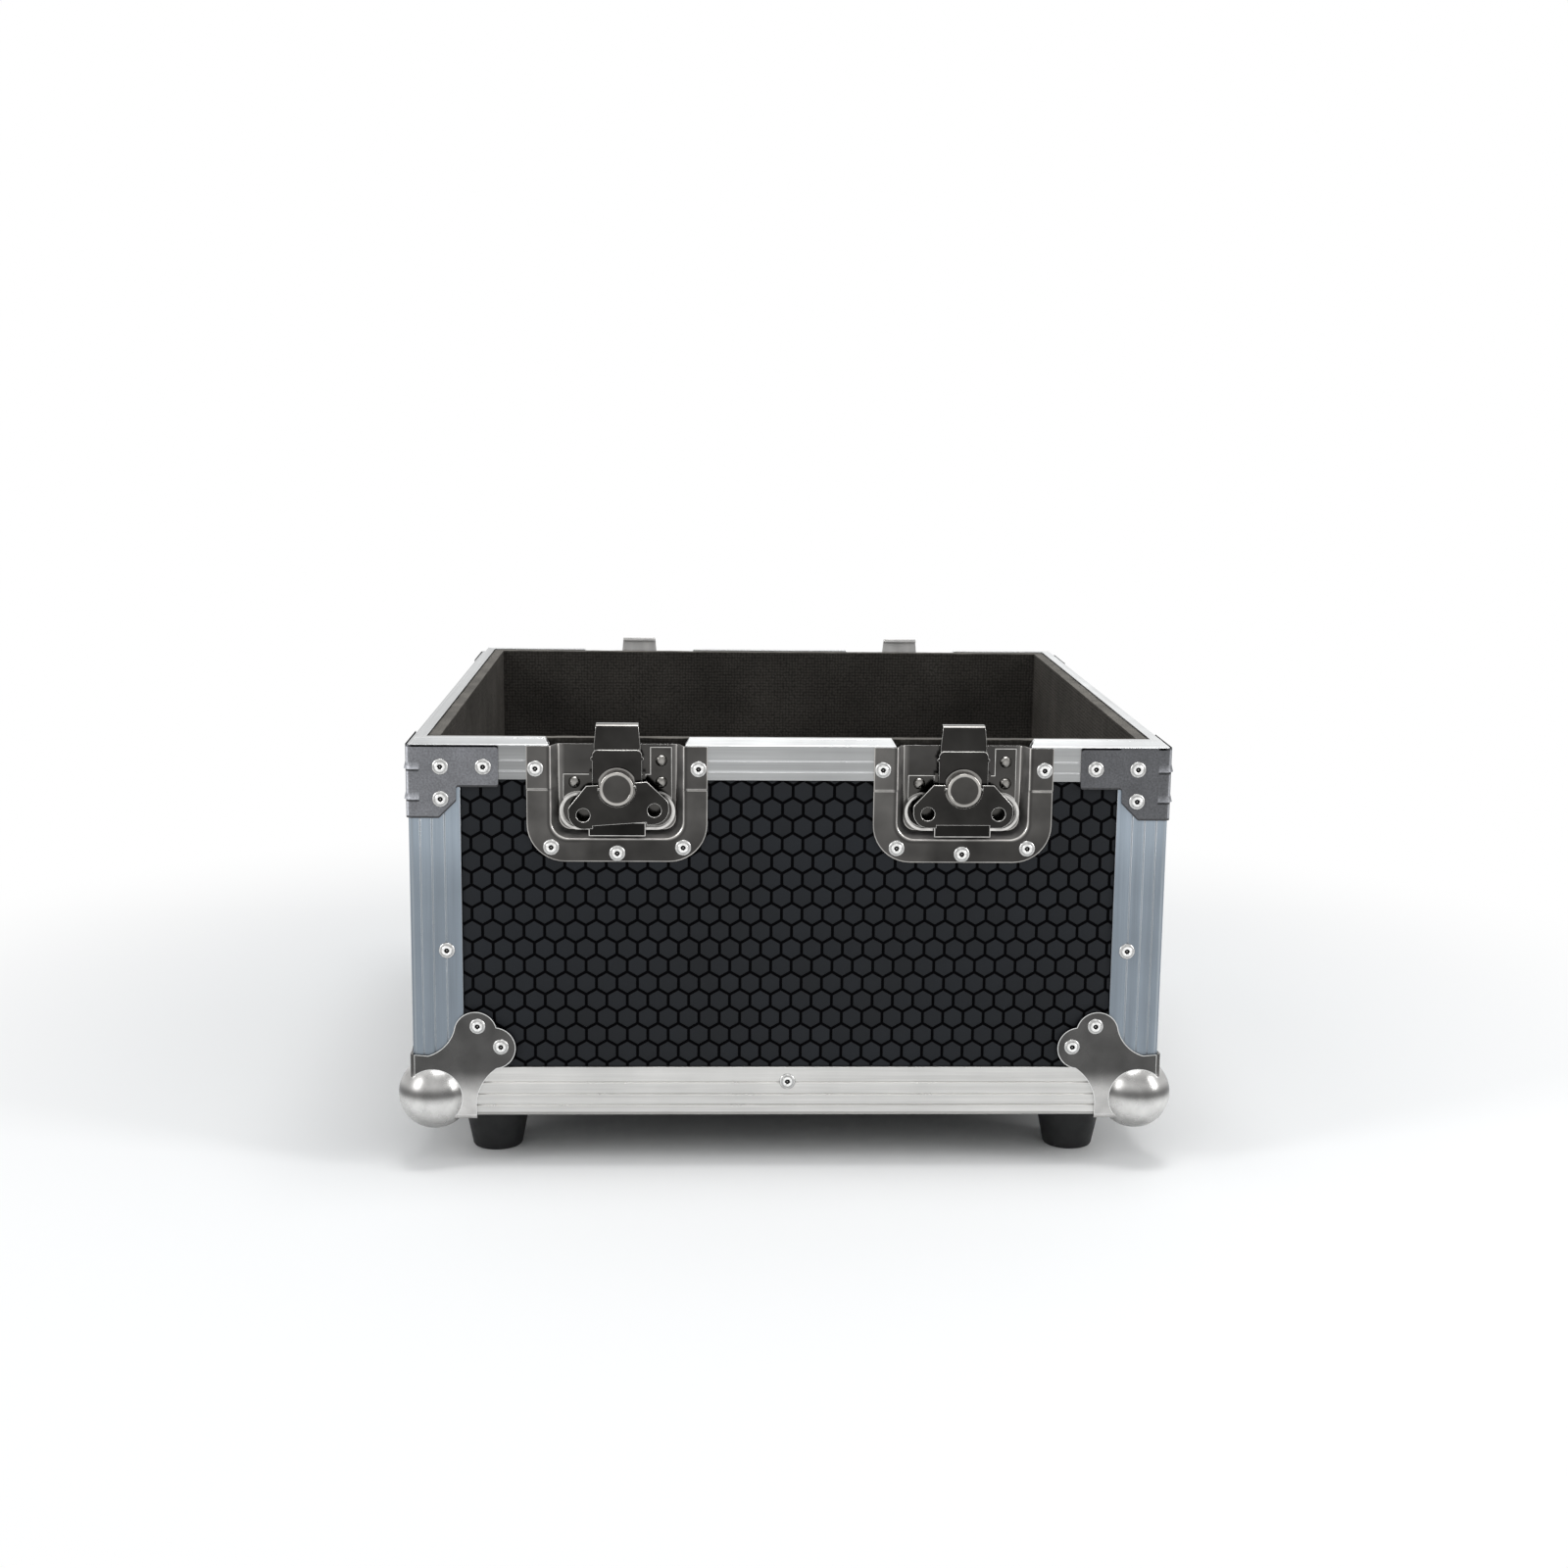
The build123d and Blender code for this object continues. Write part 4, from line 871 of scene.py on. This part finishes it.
def pressed_dish(side, place, outer, opening, top, floor, draft, lip, depth_of):
    """A flange that turns in over a lip and down to a floor, as rings of a U."""
    half, drop, corner = opening
    outer_half, outer_drop, outer_corner = outer
    rings = []
    # The two outermost rings carry a painted highlight along the flange's edge.
    for share, tone in ((1, 8.0), (0.972, 8.0), (0.955, None), (0.55, None), (0.2, None)):
        rings.append((
            half + (outer_half - half) * share,
            drop + (outer_drop - drop) * share,
            corner + (outer_corner - corner) * share,
            0.0, False, tone,
        ))
    for k in range(7):
        angle = math.pi / 2 * k / 6 * bend_share
        outset = lip * (1 - math.sin(angle)) - lip * 0.2
        rings.append((
            half + outset, drop + outset, corner + lip * 0.6,
            lip * (1 - math.cos(angle)), False, lip_tones[k],
        ))
    for k in range(6):
        angle = math.pi / 2 * (1 - k / 5) * bend_share
        inset = draft - pan_foot * math.sin(angle)
        rings.append((
            half - inset, drop - inset, max(3.5, corner - inset * 0.5),
            -pan_foot * (1 - math.cos(angle)), True, foot_tones[k],
        ))
    rings.append((half - draft - 3, drop - draft - 3, max(3, corner - 4), 0.0, True, 1.2))
    points, faces, tones = [], [], []
    for ring_half, ring_drop, ring_corner, extra, sunk, tone in rings:
        for u, v in u_shape(ring_half, ring_drop, ring_corner, top, flange_marks):
            depth = floor + extra if sunk else depth_of(v) + extra
            points.append(on_wall(side, place + u, v, depth))
            tones.append(tone or flange_painted_reflection(u, v))
    count = len(points) // len(rings)
    for ring in range(len(rings) - 1):
        for k in range(count - 1):
            here, there = ring * count + k, (ring + 1) * count + k
            faces.append((here, here + 1, there + 1, there))
    last = (len(rings) - 1) * count
    lowest = min(points[last + k].z for k in range(count))
    straight = [k for k in range(count) if points[last + k].z < lowest + 1e-6]
    for k in range(straight[0] - 1):
        faces.append((last + k, last + k + 1, last + count - 2 - k, last + count - 1 - k))
    faces.append(tuple(range(last + straight[0] - 1, last + straight[-1] + 2)))
    return points, faces, tones


def face_one_way(mesh, weld=0.0):
    """Turns all faces to the same side, once points that are this close are joined."""
    shape = bmesh.new()
    shape.from_mesh(mesh)
    if weld:
        bmesh.ops.remove_doubles(shape, verts=shape.verts, dist=weld)
    bmesh.ops.recalc_face_normals(shape, faces=shape.faces)
    shape.to_mesh(mesh)
    shape.free()


def sheet_metal(piece, thickness, edge, outward):
    """Gives a pressed surface its thickness, behind it, and breaks its cut edges."""
    face_one_way(piece.data)
    face_outward(piece, outward)
    piece.data.materials.append(nickel_edge)
    piece.data.materials.append(pan_wall)
    for face in piece.data.polygons:
        if abs(face.normal.dot(outward)) < 0.8:
            face.material_index = 2
    thicken(piece, thickness)
    round_edges(piece, edge, 55).material = 1


def flange_depth(v):
    """How deep the flange lies: proud where it crosses the rim, and lower below its step."""
    low = smooth_step(-v, -step_drop[0], -step_drop[1])
    return flange_high + (flange_low - flange_high) * low


for corner, (side, place) in latches.items():
    points, faces, tones = pressed_dish(
        side, place, (dish_half, dish_drop, dish_corner),
        (opening_half, opening_drop, opening_corner),
        dish_top, pan_floor, pan_draft, lip_radius, flange_depth,
    )
    piece = add_piece(f"dish_{corner}", points, faces, nickel, smooth=50)
    shade_mesh(piece.data, tones)
    sheet_metal(piece, dish_sheet, dish_edge, wall_axes(side)[1])
    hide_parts(f"latch_dish_{corner}")

# The latches themselves: a base plate with tabs, guides and a tray, the hook with its cover
# plate, the hub that lifts it and the wing key that turns the hub, all nickelled.
# Painted dark as well, a painted reflection; each piece's shade values add painted highlights and
# shade.
latch_nickel = finish("latch_nickel", (0.031, 0.030, 0.0285), 0.15, 1.0)
add_shade(latch_nickel)
add_grain(latch_nickel, 20, shade=0.28, rough=(0.10, 0.20))
add_grain(latch_nickel, 5, bump=0.03, detail=2)
latch_metals = (latch_nickel, nickel_edge)


def facing_out(centre, normal):
    """How squarely a face on a wall looks outward: 1 is straight out of the case."""
    axis = 0 if abs(centre.x) > abs(centre.y) else 1
    return normal[axis] * math.copysign(1, centre[axis])


hub_drop = 24.5
hub_steps = 48
hub_kept = 0.95  # how far out of the wall the CAD hub is kept, before its turned front
plate_border = 0.55
hook_edge = 0.36
hook_plate_rise = 0.5  # the least that the hook's cover plate stands out of the case
ledge_top = 44
hub_profile = [
    (0.0, -5.6), (3.0, -5.6), (7.7, -5.6), (7.95, -5.65), (8.15, -5.85), (8.5, -6.0), (9.2, -6.0),
    (9.65, -5.85), (9.9, -5.5), (9.8, -5.05), (9.45, -4.85), (9.4, -4.3), (9.75, -4.0),
    (9.8, -3.6), (9.8, -2.6), (9.5, -2.4), (9.5, -2.1), (9.8, -1.9), (9.8, -0.9),
]
# Painted highlights on the rounded rims of the turned cap and painted shade in the grooves between
# them, ring by ring.
hub_tones = (
    2.0, 2.0, 2.0, 5.0, 12.0, 14.0, 13.0, 10.0, 3.0, 0.8, 0.8, 3.0, 9.0, 12.0, 5.0, 1.0, 1.0,
    6.0, 5.0,
)
hook_back = finish("hook_back_painted_light", (0.70, 0.695, 0.685), 0.5, 1.0)
add_grain(hook_back, 8, stretch=(1, 1, 4), shade=0.12, rough=(0.42, 0.58))


def hook_sides(centre, normal):
    """The hook's back, which slides on the lid's striker, is worn duller, and its pale
    colour is painted light.
    """
    return 2 if facing_out(centre, normal) < -0.5 else 0


def hook_shade(centre, normal):
    """A painted highlight on the hook's upward faces and a painted shadow on its downward
    ones; its cover plate is a little darker.
    """
    if normal.z > 0.6:
        return 7.0
    proud = max(abs(centre.x), abs(centre.y)) > case_half + hook_plate_rise * MM
    if proud and facing_out(centre, normal) > 0.9:
        return 0.75
    return 0.3 if normal.z < -0.6 else 1.0


def plate_shade(centre, normal):
    """Painted shade on the upright faces of the ledge, low on the plate, darker than the rest."""
    low = shoulder - centre.z > ledge_top * MM
    return 0.5 if low and abs(normal.z) < 0.5 else 2.1


def hub_shade(centre, normal):
    """A painted highlight: the collar under the cap shows above and below it as two
    bright arcs.
    """
    return 8.0 if facing_out(centre, normal) > 0.9 else 2.5


def wing_edge(centre, normal):
    """The wing's rounded edge gets the brighter edge metal, a painted highlight."""
    return 1 if 0.12 < facing_out(centre, normal) < 0.97 else 0


broken_edges(
    "latch_base_plates", "base_plates", latch_metals, 0, border=plate_border,
    shade_of=plate_shade,
)
for corner, (side, place) in latches.items():
    broken_edges(
        f"latch_hook_{corner}", f"hook_{corner}", (*latch_metals, hook_back), hook_edge,
        f"hook_{corner}", share_of=hook_sides, shade_of=hook_shade,
    )
    broken_edges(
        f"latch_wing_{corner}", f"wing_{corner}", latch_metals, 0, f"wing_{corner}",
        smooth=50, share_of=wing_edge,
    )
    hub = broken_edges(
        f"latch_hub_{corner}", f"hub_{corner}", latch_metals, 0, f"hub_{corner}",
        shade_of=hub_shade,
    )
    outward = wall_axes(side)[1]
    shape = bmesh.new()
    shape.from_mesh(hub.data)
    shades = shape.faces.layers.float["shade"]
    front = [
        f for f in shape.faces
        if outward.dot(f.calc_center_median()) > case_half + hub_kept * MM
    ]
    bmesh.ops.delete(shape, geom=front, context="FACES")
    rings = []
    for radius, depth in hub_profile:
        turns = [2 * math.pi * k / hub_steps for k in range(hub_steps)] if radius else [0]
        rings.append([
            shape.verts.new(on_wall(
                side, place + radius * math.cos(a), radius * math.sin(a) - hub_drop, depth
            ))
            for a in turns
        ])
    for (inner, outer), tone in zip(zip(rings, rings[1:]), hub_tones):
        for k in range(hub_steps):
            after = (k + 1) % hub_steps
            if len(inner) == 1:
                face = shape.faces.new((inner[0], outer[k], outer[after]))
            else:
                face = shape.faces.new((inner[k], outer[k], outer[after], inner[after]))
            face[shades] = tone
            face.smooth = True
    shape.to_mesh(hub.data)
    shape.free()

# Blind rivets of bright plated steel: a domed head with a raised ring round the pit that the
# broken mandrel leaves. The latch base plates have plain domed rivets.
rivet_height = 1.5
rivet_profile = [
    (0.0, 0.75), (0.35, 0.7), (0.5, 0.35), (0.95, 0.25), (1.2, 0.6), (1.4, 1.15), (1.65, 1.4),
    (2.0, 1.5), (2.5, 1.42), (2.9, 1.2), (3.2, 0.96), (3.7, 0.88), (4.2, 0.72), (4.55, 0.48),
    (4.72, 0.25), (4.75, 0.05), (4.7, 0.0),
]
# Painted shade in the pit and painted highlights on the ring and the dome, step by step of the
# profile.
rivet_tones = (
    0.5, 0.4, 0.03, 0.02, 0.03, 0.5, 1.0, 1.15, 1.1, 0.8, 0.45, 0.62, 0.75, 0.6, 0.4, 0.3, 0.3,
)
dome_height = 2.2
dome_profile = [
    (0.0, 2.2), (0.8, 2.14), (1.6, 1.93), (2.3, 1.58), (2.8, 1.15), (3.2, 0.68), (3.44, 0.3),
    (3.49, 0.0),
]
# A painted highlight near the top of each dome, and painted shade towards its foot.
dome_tones = (0.75, 0.7, 0.5, 0.4, 0.7, 0.6, 0.3, 0.1)
rivet_metal = finish("bright_rivets", (0.80, 0.80, 0.79), 0.22, 1.0)
add_shade(rivet_metal)
add_grain(rivet_metal, 1.6, bump=0.08, shade=0.22, rough=(0.16, 0.32))
dome_metal = finish("domed_rivets", (0.48, 0.465, 0.44), 0.2, 1.0)
add_shade(dome_metal)
add_grain(dome_metal, 2, bump=0.05, shade=0.2, rough=(0.14, 0.28))


def loose_parts(node):
    """The lowest and highest corner of each separate solid in a CAD node's mesh."""
    shape = bmesh.new()
    shape.from_mesh(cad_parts[node].data)
    bmesh.ops.remove_doubles(shape, verts=shape.verts, dist=1e-6)
    boxes = []
    for group in joined_groups(shape.verts, lambda v: [e.other_vert(v) for e in v.link_edges]):
        low = Vector([min(v.co[k] for v in group) for k in range(3)])
        high = Vector([max(v.co[k] for v in group) for k in range(3)])
        boxes.append((low, high))
    shape.free()
    return sorted(boxes, key=lambda b: tuple(round(x, 5) for x in b[0]))


def set_rivets(node, name, profile, tones, height, material, steps):
    """A head for each of a CAD node's rivets, seated where its solid is and turned by chance."""
    chance = random.Random(7)
    points, faces = [], []
    head_points, head_faces = turned(profile, steps)
    for low, high in loose_parts(node):
        middle = (low + high) / 2
        size = high - low
        axis = 0 if abs(size.y - size.z) < 1e-4 else 1
        outward = Vector((0, 0, 0))
        outward[axis] = 1 if middle[axis] > 0 else -1
        seat = middle.copy()
        seat[axis] = (high if outward[axis] > 0 else low)[axis] - outward[axis] * height * MM
        side_way = outward.cross(Vector((0, 0, 1)))
        spin = chance.uniform(0, 2 * math.pi)
        lean = Vector((chance.uniform(-1, 1), chance.uniform(-1, 1))) * 0.02
        start = len(points)
        for x, y, h in head_points:
            a = x * math.cos(spin) - y * math.sin(spin)
            b = x * math.sin(spin) + y * math.cos(spin)
            rise = h * (1 + lean.x * a + lean.y * b)
            points.append(seat + (side_way * a + Vector((0, 0, 1)) * b + outward * rise) * MM)
        faces += [tuple(i + start for i in f) for f in head_faces]
    piece = add_piece(name, points, faces, material, smooth=40)
    shade_mesh(piece.data, list(tones) * (len(points) // len(tones)))
    face_one_way(piece.data, weld=1e-7)
    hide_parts(node)


for node in ("frame_rivets", "latch_rivets", "handle_rivets"):
    set_rivets(
        node, f"set_{node}", rivet_profile, rivet_tones, rivet_height, rivet_metal,
        28,
    )
set_rivets(
    "latch_base_rivets", "set_base_rivets", dome_profile, dome_tones, dome_height, dome_metal,
    24,
)

# Recessed drop handles on the left and right: a pressed dish, riveted into the wall, with a
# rod of bent steel that swings in it and a rubber grip on the rod.
for side in ("left", "right"):
    broken_edges(
        f"handle_dish_{side}", f"handle_recess_{side}", (nickel, nickel_edge), 0.5,
        steps=3, shade_of=lambda centre, normal: 1.4,
    )
    broken_edges(
        f"handle_bail_{side}", f"bail_{side}", latch_metals, 0.3, f"bail_{side}",
        smooth=50, shade_of=lambda centre, normal: 4.0,
    )
    broken_edges(
        f"handle_grip_{side}", f"grip_{side}", (rubber, rubber), 0.3, f"bail_{side}",
        smooth=50,
    )

# The studio: a white floor that goes over into a white backdrop, which metal also mirrors, and
# three soft lamps, one above and one on each side.
floor_colour = (0.95, 0.95, 0.95)
floor_reach = 12
floor_fade = (0.36, 0.85)  # metres from the middle, over which the floor goes into the backdrop


def seen_or_mirrored(tree):
    """1 for rays from the camera and for those that metal or glass send on, and 0 for others."""
    rays = tree.nodes.new("ShaderNodeLightPath")
    kinds = [rays.outputs[f"Is {kind} Ray"] for kind in ("Camera", "Glossy", "Transmission")]
    for _ in range(2):
        most = tree.nodes.new("ShaderNodeMath")
        most.operation = "MAXIMUM"
        tree.links.new(kinds.pop(), most.inputs[0])
        tree.links.new(kinds.pop(), most.inputs[1])
        kinds.append(most.outputs["Value"])
    return kinds[0]


world = bpy.data.worlds.new("studio")
bpy.context.scene.world = world
world.use_nodes = True
sky_tree = world.node_tree
sky = sky_tree.nodes["Background"]
sky.inputs["Color"].default_value = (0.95, 0.98, 1.0, 1)
sky.inputs["Strength"].default_value = 0.5
backdrop = sky_tree.nodes.new("ShaderNodeBackground")
either = sky_tree.nodes.new("ShaderNodeMixShader")
sky_tree.links.new(seen_or_mirrored(sky_tree), either.inputs["Fac"])
sky_tree.links.new(sky.outputs["Background"], either.inputs[1])
sky_tree.links.new(backdrop.outputs["Background"], either.inputs[2])
sky_tree.links.new(either.outputs["Shader"], sky_tree.nodes["World Output"].inputs["Surface"])
backdrop.inputs["Color"].default_value = (1, 1, 1, 1)

floor_white = finish("floor_white", floor_colour, 0.9, shine=0.0)
floor_tree = floor_white.node_tree
floor_shader = floor_tree.nodes["Principled BSDF"]
where = floor_tree.nodes.new("ShaderNodeTexCoord")
distance = floor_tree.nodes.new("ShaderNodeVectorMath")
distance.operation = "LENGTH"
floor_tree.links.new(where.outputs["Object"], distance.inputs[0])
far = spread_out(floor_tree, distance.outputs["Value"], *floor_fade, 0, 1)
far.interpolation_type = "SMOOTHSTEP"
share = floor_tree.nodes.new("ShaderNodeMath")
share.operation = "MULTIPLY"
floor_tree.links.new(far.outputs["Result"], share.inputs[0])
floor_tree.links.new(seen_or_mirrored(floor_tree), share.inputs[1])
glow = floor_tree.nodes.new("ShaderNodeEmission")
blend = floor_tree.nodes.new("ShaderNodeMixShader")
floor_tree.links.new(share.outputs["Value"], blend.inputs["Fac"])
floor_tree.links.new(floor_shader.outputs["BSDF"], blend.inputs[1])
floor_tree.links.new(glow.outputs["Emission"], blend.inputs[2])
floor_output = floor_tree.nodes["Material Output"]
floor_tree.links.new(blend.outputs["Shader"], floor_output.inputs["Surface"])
floor_mesh = bpy.data.meshes.new("floor")
around = ((-1, -1), (1, -1), (1, 1), (-1, 1))
floor_points = [(x * floor_reach, y * floor_reach, 0) for x, y in around]
floor_mesh.from_pydata(floor_points, [], [(0, 1, 2, 3)])
floor_mesh.materials.append(floor_white)
floor = put_in_scene("floor", floor_mesh)


def soft_lamp(name, place, aim, size, watts):
    """A wide lamp that looks from its place at a point on the case."""
    lamp = bpy.data.lights.new(name, "AREA")
    lamp.shape = "RECTANGLE"
    lamp.size, lamp.size_y = size
    lamp.energy = watts
    holder = put_in_scene(name, lamp)
    holder.location = place
    holder.rotation_euler = (Vector(aim) - Vector(place)).to_track_quat("-Z", "Y").to_euler()


soft_lamp("top_lamp", (0.1, -0.2, 1.9), (0, 0, 0.1), (1.0, 0.8), 14)
soft_lamp("left_lamp", (-1.8, -1.1, 1.1), (0, -0.1, 0.15), (0.5, 1.1), 12)
soft_lamp("right_lamp", (1.8, -0.9, 1.0), (0, -0.1, 0.15), (0.5, 1.1), 14)

# The camera stands where the photograph was taken from, worked out from its perspective for a
# case that is as deep as it is wide.
camera_data = bpy.data.cameras.new("camera")
picture_width = 1600
focal_length = 2240.9  # in pixels of the picture
camera_data.sensor_width = 36
camera_data.lens = focal_length / picture_width * camera_data.sensor_width
camera = put_in_scene("camera", camera_data)
camera_place = (-0.04997, -1.4649, 0.45995)
yaw, pitch, roll = 0.037, 0.181, 0.011
ahead = Vector((math.sin(yaw) * math.cos(pitch), math.cos(yaw) * math.cos(pitch), -math.sin(pitch)))
level = Vector((math.cos(yaw), -math.sin(yaw), 0))
raised = level.cross(ahead)
rightward = math.cos(roll) * level + math.sin(roll) * raised
upward = -math.sin(roll) * level + math.cos(roll) * raised
stance = Matrix((rightward, upward, -ahead)).transposed().to_4x4()
stance.translation = camera_place
camera.matrix_world = stance
bpy.context.scene.camera = camera
bpy.context.scene.view_settings.view_transform = "Standard"
